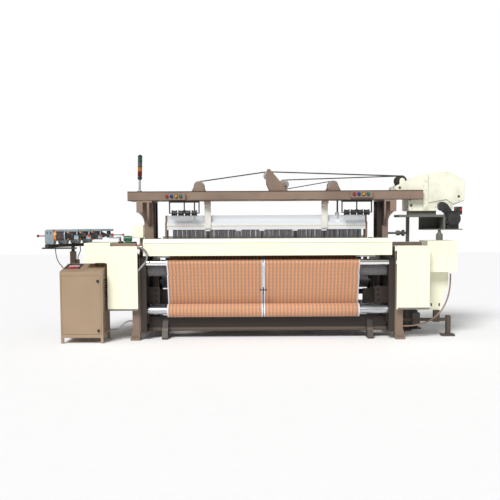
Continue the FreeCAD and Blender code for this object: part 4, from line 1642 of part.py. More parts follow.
# ---- selvedge creels hung under the front channel, each with four spools
creel_sizes = {
    "creel_wide": 314, "creel_left": -997, "creel_right_x": 769, "creel_bar_high": 20, "creel_front": 484,
    "creel_deep": 32, "creel_rod": 5, "creel_spool_z": 1242, "spools": 4, "spool_radius": 31,
    "spool_core": 18, "spool_pitch": 68, "spool_half": 27, "creel_arm_wide": 12
}
keep_sizes(creel_sizes)


def creel(left):
    y = "creel_front+creel_deep/2"
    bar = box("creel_bar", (left, left + "+creel_wide"), ("creel_front", "creel_front+creel_deep"),
              ("beam_low-creel_bar_high", "beam_low"))
    arms = [box("creel_arm", (x, x + "+creel_arm_wide"), (y + "-6", y + "+6"),
                ("creel_spool_z-creel_rod", "beam_low-creel_bar_high"))
            for x in (left, left + "+creel_wide/2-creel_arm_wide/2", left + "+creel_wide-creel_arm_wide")]
    profile = [(left + "+4", "0"), (left + "+4", "creel_rod")]
    for number in range(int(sizes["spools"])):
        middle = left + "+creel_wide/2+(%d-(spools-1)/2)*spool_pitch" % number
        profile += [(middle + "-spool_half", "creel_rod"), (middle + "-spool_half", "spool_radius"),
                    (middle + "-spool_half+6", "spool_radius"), (middle + "-spool_half+10", "spool_core+8"),
                    (middle + "+spool_half-10", "spool_core+8"), (middle + "+spool_half-6", "spool_radius"),
                    (middle + "+spool_half", "spool_radius"), (middle + "+spool_half", "creel_rod")]
    profile += [(left + "+creel_wide-4", "creel_rod"), (left + "+creel_wide-4", "0")]
    return fuse("creel", bar, *arms, turned("creel_spools", "x", (y, "creel_spool_z"), profile))


def selvedge_creels():
    node("selvedge_creels", creel("creel_left"), creel("creel_right_x"))


selvedge_creels()


# ---- every piece is checked before anything is written
def check_and_export():
    doc.recompute()
    for thing in doc.Objects:
        if "Invalid" in thing.State or "Error" in thing.State:
            raise RuntimeError("%s (%s) failed: %s" % (thing.Name, thing.Label, thing.State))
    for part in nodes:
        if part.Shape.isNull() or not part.Shape.isValid() or not part.Shape.Solids:
            raise RuntimeError("%s has no valid solid" % part.Label)
    os.makedirs("parts", exist_ok=True)
    for part in nodes:
        part.Shape.exportStep("parts/%s.step" % part.Label)
    print("%d pieces written" % len(nodes))


check_and_export()
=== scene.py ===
import math

import bmesh
import bpy
import numpy as np
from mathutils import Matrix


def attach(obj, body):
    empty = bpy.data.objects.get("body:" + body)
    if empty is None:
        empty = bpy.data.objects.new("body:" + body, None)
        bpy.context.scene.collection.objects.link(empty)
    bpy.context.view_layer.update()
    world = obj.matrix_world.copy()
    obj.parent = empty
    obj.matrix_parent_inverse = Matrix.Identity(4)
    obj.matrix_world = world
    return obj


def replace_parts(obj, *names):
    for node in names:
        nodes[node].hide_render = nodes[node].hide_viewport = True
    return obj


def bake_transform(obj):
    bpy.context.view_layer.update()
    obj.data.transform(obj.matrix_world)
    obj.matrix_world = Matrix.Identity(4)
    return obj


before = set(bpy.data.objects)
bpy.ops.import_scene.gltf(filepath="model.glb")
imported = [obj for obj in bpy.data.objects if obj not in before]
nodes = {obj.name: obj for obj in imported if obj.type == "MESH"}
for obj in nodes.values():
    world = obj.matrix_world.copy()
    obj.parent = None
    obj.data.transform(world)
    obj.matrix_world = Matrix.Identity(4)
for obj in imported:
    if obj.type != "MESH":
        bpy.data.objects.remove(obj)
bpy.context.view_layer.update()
rng = np.random.default_rng(7)
footMiddle = 0.714            # the loom's origin lies this far behind the front of its side covers
finishes = {}


class Settings(dict):   # the measures of one piece, each also read by its name after a dot
    __getattr__ = dict.__getitem__


def y(metres):
    return metres - footMiddle   # distance behind the side covers' front, as a place along Y


# ---- mesh tools: every shape is a grid of points worked out at once
def newObject(name, data):
    made = bpy.data.objects.new(name, data)
    bpy.context.scene.collection.objects.link(made)
    return made


def meshPiece(name, points, faces, uv=None, smooth=35, tidy=False):
    mesh = bpy.data.meshes.new(name)
    mesh.from_pydata(np.asarray(points, float).tolist(), [], [list(f) for f in faces])
    if uv is not None:
        layer = mesh.uv_layers.new(name="sheet")
        corner = np.zeros(len(mesh.loops), np.int32)
        mesh.loops.foreach_get("vertex_index", corner)
        layer.data.foreach_set("uv", np.asarray(uv, np.float32)[corner].ravel())
    if tidy:   # merge doubled points at poles and turn the faces outwards
        work = bmesh.new()
        work.from_mesh(mesh)
        bmesh.ops.remove_doubles(work, verts=work.verts, dist=1e-6)
        bmesh.ops.dissolve_degenerate(work, edges=work.edges, dist=1e-7)
        bmesh.ops.recalc_face_normals(work, faces=work.faces)
        work.to_mesh(mesh)
        work.free()
    mesh.polygons.foreach_set("use_smooth", np.ones(len(mesh.polygons), bool))
    mesh.set_sharp_from_angle(angle=math.radians(smooth))
    return newObject(name, mesh)


def flat(*arrays):   # matching arrays side by side, as rows of coordinates
    return np.stack(np.broadcast_arrays(*arrays), -1).reshape(-1, len(arrays))


def circle(steps):
    return np.linspace(0, 2 * math.pi, steps, endpoint=False)


def gridFaces(rows, cols, wrapRows=False, wrapCols=False):   # quad (i,j) (i,j+1) (i+1,j+1) (i+1,j)
    i, j = np.meshgrid(np.arange(rows if wrapRows else rows - 1), np.arange(cols if wrapCols else cols - 1),
        indexing="ij")
    below, beside = (i + 1) % rows, (j + 1) % cols
    return flat(i * cols + j, i * cols + beside, below * cols + beside, below * cols + j)


def axisFrame(axis):   # the axis with two directions square to it
    along = {"x": (1, 0, 0), "y": (0, 1, 0)}[axis] if isinstance(axis, str) else axis
    along = np.asarray(along, float) / np.linalg.norm(along)
    spare = np.array([0, 0, 1.0]) if abs(along[2]) < 0.9 else np.array([0, 1.0, 0])
    across = np.cross(spare, along)
    across /= np.linalg.norm(across)
    return along, across, np.cross(along, across)


def turned(profile, axis, centre, steps, closed=False):   # P = centre + s*axis + r*(cos t*u + sin t*v)
    along, across, up = axisFrame(axis)
    profile, turn = np.asarray(profile, float), circle(steps)[:, None]
    ring = np.cos(turn) * across + np.sin(turn) * up
    points = np.asarray(centre, float) + profile[:, None, :1] * along + profile[:, None, 1:] * ring
    return points.reshape(-1, 3), gridFaces(len(profile), steps, closed, True)


def tubePart(path, radius, sides):   # P = path + r*(cos t*N + sin t*B), the frame carried along without twist
    tangent = np.gradient(path, axis=0)
    tangent /= np.linalg.norm(tangent, axis=1)[:, None]
    normals = np.zeros_like(path)
    normals[0] = axisFrame(tangent[0])[1]
    for k in range(1, len(path)):
        side = normals[k - 1] - tangent[k] * np.dot(normals[k - 1], tangent[k])
        normals[k] = side / np.linalg.norm(side)
    binormals, turn = np.cross(tangent, normals), circle(sides)[None, :, None]
    ring = np.cos(turn) * normals[:, None] + np.sin(turn) * binormals[:, None]
    return (path[:, None] + radius * ring).reshape(-1, 3), gridFaces(len(path), sides, wrapCols=True)


boxCorners = np.array([[0, 0, 0], [1, 0, 0], [1, 1, 0], [0, 1, 0], [0, 0, 1], [1, 0, 1], [1, 1, 1], [0, 1, 1]])
boxFaces = np.array([[0, 3, 2, 1], [4, 5, 6, 7], [0, 1, 5, 4], [1, 2, 6, 5], [2, 3, 7, 6], [3, 0, 4, 7]])


def boxPart(low, high):
    low, high = np.asarray(low, float), np.asarray(high, float)
    return low + boxCorners * (high - low), boxFaces


def prismPart(outline, front, back):   # an outline in X and Z carried straight back
    outline, count = np.asarray(outline, float), len(outline)
    points = flat(outline[:, 0], np.array([[front], [back]]), outline[:, 1])
    return points, gridFaces(2, count, wrapCols=True).tolist() + [[*range(count)], [*range(count, 2 * count)][::-1]]


def repeated(points, faces, across, deep=0.0):   # one shape at many places, as a single array
    shifts = flat(across, deep, 0.0)
    placed = (points[None] + shifts[:, None]).reshape(-1, 3)
    return placed, (faces[None] + np.arange(len(shifts))[:, None, None] * len(points)).reshape(-1, faces.shape[1])


def merged(parts):   # several (points, faces) as one
    faces, start = [], 0
    for points, these in parts:
        faces += [[corner + start for corner in face] for face in these]
        start += len(points)
    return np.concatenate([points for points, _ in parts]), faces


# ---- placing: what every new piece needs is a finish and a body; one that stretches between bodies rides none
def place(piece, finish, body="machine"):
    piece.data.materials.clear()
    piece.data.materials.append(finishes[finish])
    if body:
        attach(piece, body)
    return piece


def modify(piece, name, kind, **amounts):
    made = piece.modifiers.new(name, kind)
    for key, amount in amounts.items():
        setattr(made, key, amount)


def placeParts(name, parts, finish, body="machine", round=0.0, smooth=35, tidy=True):
    piece = meshPiece(name, *merged(parts), smooth=smooth, tidy=tidy)
    if round:
        modify(piece, "softEdges", "BEVEL", width=round, segments=2)
    return place(piece, finish, body)


def placeBoxes(name, boxes, finish, round=0.0, body="machine"):
    return placeParts(name, [boxPart(*corners) for corners in boxes], finish, body, round, tidy=False)


# ---- material tools: all patterns come from Object coordinates or the piece's own UV map
def feed(tree, socket, source):   # a number, a colour or another node's output goes into a socket
    if hasattr(source, "is_output"):
        tree.links.new(source, socket)
    elif hasattr(source, "__len__"):
        socket.default_value = (*source, 1) if len(source) == 3 and len(socket.default_value) == 4 else source
    else:
        socket.default_value = source


def newMaterial(name, colour, roughness, metallic=0.0):
    material = bpy.data.materials.new(name)
    material.use_nodes = True
    tree = material.node_tree
    shader = tree.nodes["Principled BSDF"]
    for socket, source in (("Base Color", colour), ("Roughness", roughness), ("Metallic", metallic)):
        feed(tree, shader.inputs[socket], source)
    finishes[name] = material
    return tree, shader


def add(tree, kind, inputs=(), **settings):   # a node with its settings, its sockets fed by number or name
    made = tree.nodes.new("ShaderNode" + kind)
    for key, setting in settings.items():
        setattr(made, key, setting)
    for socket, source in inputs:
        feed(tree, made.inputs[socket], source)
    return made.outputs


def worked(tree, operation, *amounts):   # one sum on numbers or outputs
    return add(tree, "Math", enumerate(amounts), operation=operation)[0]


def mixColour(tree, share, first, second):
    return add(tree, "Mix", ((0, share), (6, first), (7, second)), data_type="RGBA")[2]


def objectPlace(tree, stretch=(1, 1, 1)):
    return add(tree, "Mapping", (("Vector", add(tree, "TexCoord")["Object"]), ("Scale", stretch)))["Vector"]


def noise(tree, where, scale, detail=4.0):
    return add(tree, "TexNoise", (("Vector", where), ("Scale", scale), ("Detail", detail)))["Fac"]


def spread(tree, source, low, high, least=0.0, most=1.0):   # source from low..high becomes least..most, held inside
    return add(tree, "MapRange", (("Value", source), ("From Min", low), ("From Max", high), ("To Min", least),
            ("To Max", most)))["Result"]


def relief(tree, shader, height, strength, depth=0.001):
    bump = add(tree, "Bump", (("Strength", strength), ("Distance", depth), ("Height", height)))
    tree.links.new(bump["Normal"], shader.inputs["Normal"])


def separated(tree, vector):
    return add(tree, "SeparateXYZ", ((0, vector),))


def painted(name, colour, shade, roughness, patch, strength=0.2, metallic=0.0, grain=260.0, stretch=(1, 1, 1)):
    tree, shader = newMaterial(name, colour, roughness, metallic)   # faint patches of a second shade, a fine grain
    where = objectPlace(tree, stretch)
    patches = spread(tree, noise(tree, where, patch, 6.0), 0.42, 0.72)
    tree.links.new(mixColour(tree, patches, colour, shade), shader.inputs["Base Color"])
    tree.links.new(spread(tree, noise(tree, where, patch * 3), 0.3, 0.7, roughness * 0.85, min(roughness * 1.2, 1)),
        shader.inputs["Roughness"])
    relief(tree, shader, noise(tree, where, grain, 2.0), strength)


def banded(name, colour, bands, roughness=0.45, metallic=0.0, axis="Z", grain=260.0, strength=0.15):
    tree, shader = newMaterial(name, colour, roughness, metallic)   # each band is where it begins and its colour
    along = separated(tree, objectPlace(tree))[axis]
    for begin, beyond in bands:
        colour = mixColour(tree, worked(tree, "GREATER_THAN", along, begin), colour, beyond)
    tree.links.new(colour, shader.inputs["Base Color"])
    relief(tree, shader, noise(tree, objectPlace(tree), grain, 2.0), strength)


def glassy(name, colour, roughness):
    shader = newMaterial(name, colour, roughness)[1]
    shader.inputs["Coat Weight"].default_value = 0.6


# colour, second shade, roughness, patches, then relief, metal, grain and stretch where they differ
finishTable = {
    "framePaint": ((0.3, 0.205, 0.15), (0.17, 0.11, 0.08), 0.45, 4, 0.35),
    "beamPaint": ((0.255, 0.18, 0.138), (0.19, 0.13, 0.097), 0.42, 3),
    "darkCast": ((0.028, 0.018, 0.0125), (0.016, 0.011, 0.009), 0.5, 8, 0.4),
    "greasyCast": ((0.13, 0.085, 0.06), (0.035, 0.024, 0.018), 0.5, 9, 0.5),
    "coverCream": ((0.88, 0.87, 0.68), (0.85, 0.83, 0.63), 0.38, 2, 0.08),
    "foldShade": ((0.46, 0.44, 0.33), (0.42, 0.4, 0.3), 0.45, 9),
    "bandGrey": ((0.2, 0.185, 0.165), (0.15, 0.135, 0.12), 0.5, 12),
    "railBrown": ((0.2, 0.155, 0.13), (0.13, 0.1, 0.085), 0.42, 9, 0.2, 0.3),
    "dobbyCream": ((0.83, 0.83, 0.69), (0.7, 0.69, 0.56), 0.42, 8, 0.25),
    "cabinetTan": ((0.345, 0.245, 0.16), (0.315, 0.22, 0.142), 0.4, 3, 0.12),
    "keyWhite": ((0.62, 0.66, 0.64), (0.5, 0.54, 0.52), 0.4, 30),
    "motorBlack": ((0.022, 0.022, 0.024), (0.05, 0.045, 0.04), 0.38, 14),
    "darkSteel": ((0.055, 0.048, 0.042), (0.02, 0.018, 0.016), 0.45, 14, 0.2, 0.4),
    "feederBlue": ((0.235, 0.29, 0.315), (0.17, 0.215, 0.24), 0.4, 12),
    "feederPale": ((0.33, 0.4, 0.44), (0.25, 0.31, 0.36), 0.35, 20),
    "drumThread": ((0.055, 0.042, 0.045), (0.14, 0.11, 0.115), 0.28, 30, 0.2, 0.35, 900, (4, 1, 1)),
    "orangeRing": ((0.72, 0.25, 0.02), (0.6, 0.19, 0.015), 0.35, 25),
    "selectorGreen": ((0.045, 0.16, 0.085), (0.03, 0.1, 0.05), 0.35, 15),
    "railAluminium": ((0.9, 0.93, 0.97), (0.82, 0.86, 0.91), 0.34, 5, 0.1, 0.3, 500, (0.15, 1, 1)),
    "plainSteel": ((0.42, 0.42, 0.43), (0.25, 0.25, 0.26), 0.35, 20, 0.2, 0.85, 260, (0.3, 1, 1)),
    "tubeSteel": ((0.62, 0.63, 0.66), (0.42, 0.43, 0.46), 0.33, 14, 0.2, 0.85, 260, (0.25, 1, 1)),
    "chromed": ((0.86, 0.86, 0.87), (0.8, 0.8, 0.81), 0.09, 3, 0.03, 1),
    "wornPulley": ((0.5, 0.46, 0.43), (0.3, 0.26, 0.235), 0.4, 18, 0.2, 0.5),
    "healdWire": ((0.27, 0.27, 0.285), (0.15, 0.15, 0.16), 0.42, 30, 0.2, 0.3),
    "blackPlastic": ((0.018, 0.018, 0.02), (0.03, 0.03, 0.032), 0.42, 20),
    "redPlastic": ((0.55, 0.02, 0.015), (0.42, 0.012, 0.01), 0.25, 20, 0.05),
    "creamNylon": ((0.78, 0.72, 0.52), (0.66, 0.6, 0.42), 0.4, 25),
    "whiteNylon": ((0.86, 0.86, 0.84), (0.76, 0.76, 0.74), 0.42, 25),
    "guideWhite": ((0.84, 0.83, 0.78), (0.74, 0.73, 0.68), 0.45, 12),
    "greyHose": ((0.27, 0.29, 0.3), (0.2, 0.21, 0.22), 0.5, 20),
    "cableBlack": ((0.09, 0.09, 0.095), (0.05, 0.05, 0.055), 0.45, 40),
    "grippedGrey": ((0.25, 0.245, 0.25), (0.17, 0.165, 0.17), 0.7, 60, 0.9, 0, 420),
}
for finishName, row in finishTable.items():
    painted(finishName, *row)
print("finishes ready:", len(finishes))


# ---- the CAD nodes that stay get their finishes; some change colour at a place along X or Z
# painted shade with grease: near-black for the side frames' inner parts, brown for their outer legs
brown, shadeAndGrease = (0.21, 0.145, 0.105), (0.03, 0.02, 0.015)
# painted shade: near-black for the arches' inner sides, brown for their outer flanges
arch, archShade = (0.27, 0.19, 0.145), (0.028, 0.02, 0.016)
rail, wires = (0.9, 0.93, 0.97), (0.15, 0.148, 0.152)
flank = Settings(axis="X", strength=0.3)
wired = Settings(roughness=0.36, metallic=0.25, grain=500.0, strength=0.1)
for nodeName, colour, bands, others in (("feeder_stand", (0.17, 0.12, 0.085), ((0.86, (0.03, 0.026, 0.022)),), {}),
        ("dobby_stand", (0.075, 0.055, 0.042), ((0.6, (0.13, 0.135, 0.115)),), {}),
        # side frames: near-black inner parts as painted shade with grease
        ("left_side_frame", brown, ((-1.24, shadeAndGrease),), flank),
        ("right_side_frame", shadeAndGrease, ((1.24, brown),), flank),
        # arches: near-black inner sides as painted shade
        ("left_arch", arch, ((-1.168, archShade),), flank),
        ("right_arch", archShade, ((1.202, arch),), flank),
        ("front_girt", (0.06, 0.045, 0.034), ((0.083, (0.105, 0.075, 0.055)), (0.105, (0.02, 0.013, 0.009))),
            {"roughness": 0.5, "strength": 0.3}),
        ("odd_heald_frames", rail, ((0.668, wires), (1.069, rail)), wired),
        ("even_heald_frames", rail, ((0.738, wires), (1.139, rail)), wired)):
    banded(nodeName, colour, bands, **others)

keptFinishes = {
    "framePaint": "rear_girt breast_beam",
    "beamPaint": "top_beams pulley_brackets button_boxes",
    "coverCream": "breast_cover left_cover right_covers",
    "dobbyCream": "dobby_housing",
    "cabinetTan": "cabinet_shell cabinet_door",
    "motorBlack": "dobby_motor main_motor",
    "darkSteel": "odd_dobby_jacks even_dobby_jacks warp_stop_motion left_gripper right_gripper",
    "wornPulley": "left_sheaves right_sheaves upper_sheaves lower_sheaves",
    "railAluminium": "sley_beam",
    "plainSteel": "start_lever reed",
    "greasyCast": "main_shaft left_rapier_wheel right_rapier_wheel",
    "tubeSteel": "cloth_roller",
    "chromed": "guide_roller back_rest",
    "grippedGrey": "take_up_roller",
    "blackPlastic": "upper_latch lower_latch selvedge_creels",
    "redPlastic": "front_button back_button",
    "cableBlack": "harness_cables",
}
keptFinishes.update({name: name for name in finishes if name in nodes})
for finishName, nodeNames in keptFinishes.items():
    for nodeName in nodeNames.split():
        nodes[nodeName].data.materials.clear()
        nodes[nodeName].data.materials.append(finishes[finishName])
print("CAD nodes dressed:", len(" ".join(keptFinishes.values()).split()))


# ---- cords: one smooth line each through its listed points, in metres behind the side covers' front
cordRoutes = {
    "brownConduit": Settings(
        node="brown_conduit", radius=0.008, finish="framePaint", slot="brown_hose", stiffness="stiff",
        points=[(1.822, 0.23, 0.625), (1.822, 0.23, 0.562), (1.818, 0.225, 0.5), (1.807, 0.217, 0.44),
            (1.789, 0.207, 0.382), (1.765, 0.197, 0.325), (1.732, 0.187, 0.272), (1.69, 0.176, 0.226),
            (1.642, 0.163, 0.188), (1.588, 0.149, 0.159), (1.531, 0.134, 0.14), (1.471, 0.12, 0.129),
            (1.414, 0.108, 0.124), (1.366, 0.1, 0.122), (1.318, 0.1, 0.122)]),
    "greyConduit": Settings(
        node="cabinet_cables", radius=0.008, finish="greyHose", slot="grey_hose", stiffness="stiff",
        points=[(-1.548, 0.1, 0.1), (-1.508, 0.1, 0.1), (-1.464, 0.1, 0.112), (-1.428, 0.1, 0.138),
            (-1.398, 0.1, 0.17), (-1.358, 0.1, 0.187), (-1.318, 0.1, 0.187)]),
    "frontFeederCable": Settings(
        node="cabinet_cables", radius=0.0045, finish="cableBlack", slot="grey_hose",
        stiffness="medium",
        points=[(-2.068, 0.112, 0.94), (-2.068, 0.116, 0.88), (-2.066, 0.134, 0.822), (-2.06, 0.168, 0.772),
            (-2.044, 0.212, 0.73), (-2.022, 0.252, 0.69), (-1.998, 0.284, 0.646), (-1.978, 0.304, 0.604),
            (-1.966, 0.313, 0.566), (-1.958, 0.315, 0.529), (-1.953, 0.3, 0.503), (-1.95, 0.274, 0.488),
            (-1.95, 0.244, 0.488)]),
    "postCable": Settings(
        node="cabinet_cables", radius=0.0045, finish="cableBlack", slot="grey_hose",
        stiffness="medium",
        points=[(-1.91, 0.44, 0.94), (-1.898, 0.438, 0.902), (-1.896, 0.428, 0.864), (-1.906, 0.412, 0.834),
            (-1.918, 0.403, 0.806), (-1.918, 0.403, 0.778)]),
}


def cordPiece(name, s):
    line = bpy.data.curves.new(name, "CURVE")
    line.dimensions = "3D"
    line.bevel_depth = s.radius
    line.bevel_resolution = 3
    line.resolution_u = 8
    line.use_fill_caps = True
    spline = line.splines.new("NURBS")
    spline.points.add(len(s.points) - 1)
    points = np.array([(x, y(back), z, 1.0) for x, back, z in s.points])
    spline.points.foreach_set("co", points.ravel())
    spline.order_u = 3
    spline.use_endpoint_u = True
    piece = place(newObject(name, line), s.finish)
    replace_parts(piece, s.node)
    plain = line.copy()   # the same line with no thickness, for its real length
    plain.bevel_depth = 0
    ruler = bpy.data.objects.new(name + "Ruler", plain)
    along = bpy.data.meshes.new_from_object(ruler)
    length = float(lengthAlong(np.array([v.co[:] for v in along.vertices]))[-1])
    bpy.data.objects.remove(ruler)
    bpy.data.meshes.remove(along)
    return length


def lengthAlong(path):
    return np.concatenate([[0], np.cumsum(np.linalg.norm(np.diff(path, axis=0), axis=1))])


for cordName, cordSettings in cordRoutes.items():
    print("cord", cordName, "%.3f m" % cordPiece(cordName, cordSettings))


# ---- cloth and warp: flat lengths run from the fell to the cloth roll and from the beam to the healds
clothSettings = Settings(
    left=-0.982, gap=0.01, width=0.936, thick=0.0016, fell=(y(0.436), 0.9058),
    path=((y(0.326), 0.88, 0.0258, 1), (y(0.23), 0.684, 0.0712, -1), (y(0.09), 0.752, 0.0312, 1),
        (y(0.15), 0.28, 0.0672, -1)),
    tuck=0.024, tuckTop=0.74, tuckHigh=0.46, tuckBack=y(0.1), tuckEnd=0.11, columns=48,
    lap=0.9, pitch=0.0355, pick=0.038, selvedge=0.011,
    ground=(0.7, 0.335, 0.175), stripe=(0.33, 0.215, 0.175), ochre=(0.52, 0.245, 0.095),
    edge=(0.74, 0.76, 0.84), coreRadius=0.0378, rollRadius=0.066, rollPlace=(y(0.15), 0.28), turns=15,
    rollSteps=72,
)


def tangentRun(a, b):   # the straight line that leaves circle a and meets circle b, as its two touching points
    (ya, za, ra, sa), (yb, zb, rb, sb) = a, b
    gap = math.hypot(yb - ya, zb - za)
    angle = math.atan2(zb - za, yb - ya) - math.asin((sb * rb - sa * ra) / gap)
    normal = np.array([math.sin(angle), -math.cos(angle)])
    return np.array([ya, za]) + sa * ra * normal, np.array([yb, zb]) + sb * rb * normal


def tautPath(circles, lap=0.0, step=0.012):   # straight runs joined by arcs round the circles, evenly sampled
    runs = [tangentRun(a, b) for a, b in zip(circles, circles[1:])]
    points = [runs[0][0]]
    for number, (leave, meet) in enumerate(runs):
        count = max(2, int(np.linalg.norm(meet - leave) / step))
        points += [leave + (meet - leave) * k / count for k in range(1, count + 1)]
        cy, cz, reach, sense = circles[number + 1]
        start = math.atan2(meet[1] - cz, meet[0] - cy)
        sweep = lap * sense
        if number + 1 < len(runs):
            nextLeave = runs[number + 1][0]
            sweep = (math.atan2(nextLeave[1] - cz, nextLeave[0] - cy) - start) * sense % (2 * math.pi) * sense
        bends = max(1, int(abs(sweep) * max(reach, 0.02) / step * 2)) if abs(sweep) > 1e-6 and reach > 0 else 0
        for k in range(1, bends + 1):
            angle = start + sweep * k / bends
            points.append(np.array([cy + reach * math.cos(angle), cz + reach * math.sin(angle)]))
    return np.array(points)


def uvPlace(tree):
    parts = separated(tree, add(tree, "UVMap", uv_map="sheet")["UV"])
    return parts["X"], parts["Y"]


def wave(tree, source, pitch, low, high):   # 1 on a band of each pitch: |2*fract(s/pitch)-1| between low and high
    share = worked(tree, "FRACT", worked(tree, "DIVIDE", source, pitch))
    return spread(tree, worked(tree, "ABSOLUTE", worked(tree, "MULTIPLY_ADD", share, 2.0, -1.0)), low, high)


def clothMaterial(s):
    tree, shader = newMaterial("stripedCloth", s.ground, 0.85)
    across, along = uvPlace(tree)
    slub = spread(tree, noise(tree, objectPlace(tree), 9.0), 0.35, 0.7)
    ground = mixColour(tree, slub, s.ground, tuple(c * 0.93 for c in s.ground))
    stripes = worked(tree, "MULTIPLY", wave(tree, across, s.pitch, 0.62, 0.4), 0.85)
    picks = worked(tree, "MULTIPLY", wave(tree, along, s.pick, 0.4, 0.6), 0.5)
    colour = mixColour(tree, picks, mixColour(tree, stripes, ground, s.stripe), s.ochre)
    edges = worked(tree, "MAXIMUM", worked(tree, "LESS_THAN", across, s.selvedge),
        worked(tree, "GREATER_THAN", across, s.width - s.selvedge))
    tree.links.new(mixColour(tree, edges, colour, s.edge), shader.inputs["Base Color"])
    weave = worked(tree, "ADD", wave(tree, across, 0.0016, 0.2, 0.9), wave(tree, along, 0.0018, 0.2, 0.9))
    relief(tree, shader, weave, 0.35, 0.0006)
    shader.inputs["Sheen Weight"].default_value = 0.25


def clothHalf(name, left, path, s, tuckSide):   # X runs across, drawn in a little on its way down to the roll
    run, width = lengthAlong(path)[:, None], s.width
    share = np.linspace(0, 1, s.columns)[None]
    hang = np.clip((s.tuckTop - path[:, 1:]) / s.tuckHigh, 0, 1) * (path[:, :1] < s.tuckBack)
    hang *= np.clip((run[-1] - run) / s.tuckEnd, 0, 1) ** 0.5
    drawn = s.tuck * hang * ((1 - share) if tuckSide < 0 else -share)
    points = flat(left + width * share + drawn, path[:, :1], path[:, 1:])
    piece = meshPiece(name, points, gridFaces(len(path), s.columns), flat(width * share, run), smooth=60)
    modify(piece, "clothThickness", "SOLIDIFY", thickness=s.thick, offset=0)
    place(piece, "stripedCloth")
    return piece


def woundRoll(name, left, s):   # turns whose edges stand a little unevenly, P = (x, r*cos t, r*sin t)
    reach = np.linspace(s.coreRadius, s.rollRadius, s.turns * 2)
    stagger = np.where(np.arange(len(reach)) % 4 < 2, 0.0007, -0.0007) + rng.normal(0, 0.0004, len(reach))
    stagger[-1] = 0
    ends = np.concatenate([left - stagger, left + s.width + stagger[::-1]])
    points, faces = turned(flat(ends, np.concatenate([reach, reach[::-1]])), "x", (0, *s.rollPlace),
        s.rollSteps, True)
    uv = flat(np.clip(ends - left, 0, s.width)[:, None], circle(s.rollSteps)[None] * s.rollRadius)
    return place(meshPiece(name, points, faces, uv, smooth=50), "stripedCloth", "cloth_take_up")


def makeCloth(s):
    clothMaterial(s)
    path = tautPath(((*s.fell, 0.0, 1),) + s.path, s.lap)
    for side, left, name in ((-1, s.left, "left"), (1, s.left + s.width + s.gap, "right")):
        half, roll = clothHalf(name + "Cloth", left, path, s, side), woundRoll(name + "WoundCloth", left, s)
        if side < 0:
            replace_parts(half, "cloth_sheet")
            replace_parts(roll, "cloth_roll")
    print("cloth: %.3f m from fell to roll" % lengthAlong(path)[-1])


makeCloth(clothSettings)


# ---- warp: the wound beam behind, the sheet over the back rest, and the threads through the healds
healdSettings = Settings(frames=(0.6, 0.638, 0.676, 0.714), lift=0.07, eye=0.87)
warpSettings = Settings(
    left=-0.982, right=0.9, beamPlace=(y(1.36), 0.47), barrel=0.075, pin=0.03, reach=1.178,
    end=1.248, woundRadius=0.24, flangeRadius=0.34, flangeThick=0.014, flangeGap=0.018,
    ribDeep=0.026, ribThick=0.01, ribs=8, thick=0.0016, pitch=0.0355,
    sheetPath=((y(1.36), 0.47, 0.2408, 1), (y(1.49), 0.93, 0.0608, 1), (y(0.746), 0.9196, 0.0, 1)),
    thread=(0.8, 0.36, 0.18), second=(0.27, 0.17, 0.14), light=(0.72, 0.68, 0.62),
    fell=(y(0.436), 0.9058), threadPitch=0.016, threadHalf=0.0006, joints=9,
    rows=400, ripple=0.0006, steps=72, columns=40,
)


def warpMaterial(s):
    tree, shader = newMaterial("warpThreads", s.thread, 0.8)
    across = uvPlace(tree)[0]
    colour = mixColour(tree, wave(tree, across, s.pitch, 0.62, 0.4), s.thread, s.second)
    strands = wave(tree, across, 0.0019, 0.15, 0.85)
    tree.links.new(mixColour(tree, worked(tree, "MULTIPLY", strands, 0.35), colour, s.light),
        shader.inputs["Base Color"])
    relief(tree, shader, strands, 0.5, 0.0008)


def flangeParts(s, edge, outward):   # a round plate with a hub and spokes, as merged point sets
    where, thick, rim = (0, *s.beamPlace), s.flangeThick, s.flangeRadius
    face = edge + (thick if outward > 0 else 0)
    tip = face + outward * s.ribDeep
    inner, hub = s.barrel - 0.002, s.barrel + 2 * s.ribDeep
    plate = [(edge, inner), (edge, rim - 0.003), (edge + 0.003, rim), (edge + thick - 0.003, rim),
        (edge + thick, rim - 0.003), (edge + thick, inner)]
    boss = [(face, inner), (face, hub), (tip - 0.004 * outward, hub), (tip, hub - 0.004), (tip, inner)]
    parts = [turned(profile, "x", where, 64, True) for profile in (plate, boss)]
    for turn in circle(s.ribs):
        across, up, deep = boxPart((min(face, tip), hub - 0.004, -s.ribThick / 2),
            (max(face, tip), rim - 0.012, s.ribThick / 2))[0].T
        c, sn = math.cos(turn), math.sin(turn)
        parts.append((flat(across, up * c - deep * sn, up * sn + deep * c) + np.array(where), boxFaces))
    return parts


def makeWarpBeam(s):
    where, end, reach, pin, barrel = (0, *s.beamPlace), s.end, s.reach, s.pin, s.barrel
    bar = [(-end, 0), (-end, pin), (-reach, pin), (-reach, barrel), (reach, barrel), (reach, pin),
        (end, pin), (end, 0)]
    placeParts("warpBeamFrame", [turned(bar, "x", where, 48),
            *flangeParts(s, s.left - s.flangeGap - s.flangeThick, -1),
            *flangeParts(s, s.right + s.flangeGap, 1)], "plainSteel", "beam")
    rows = np.linspace(s.left, s.right, s.rows)
    reach = s.woundRadius - s.ripple + s.ripple * np.cos(np.arange(s.rows) * 2.4)
    profile = flat(np.pad(rows, 1, "edge"), np.pad(reach, 1, constant_values=barrel + 0.0005))
    uv = flat(profile[:, :1] - s.left, circle(s.steps)[None] * s.woundRadius)
    wound = meshPiece("woundWarp", *turned(profile, "x", where, s.steps), uv, smooth=60)
    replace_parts(place(wound, "warpThreads", "beam"), "warp_beam")


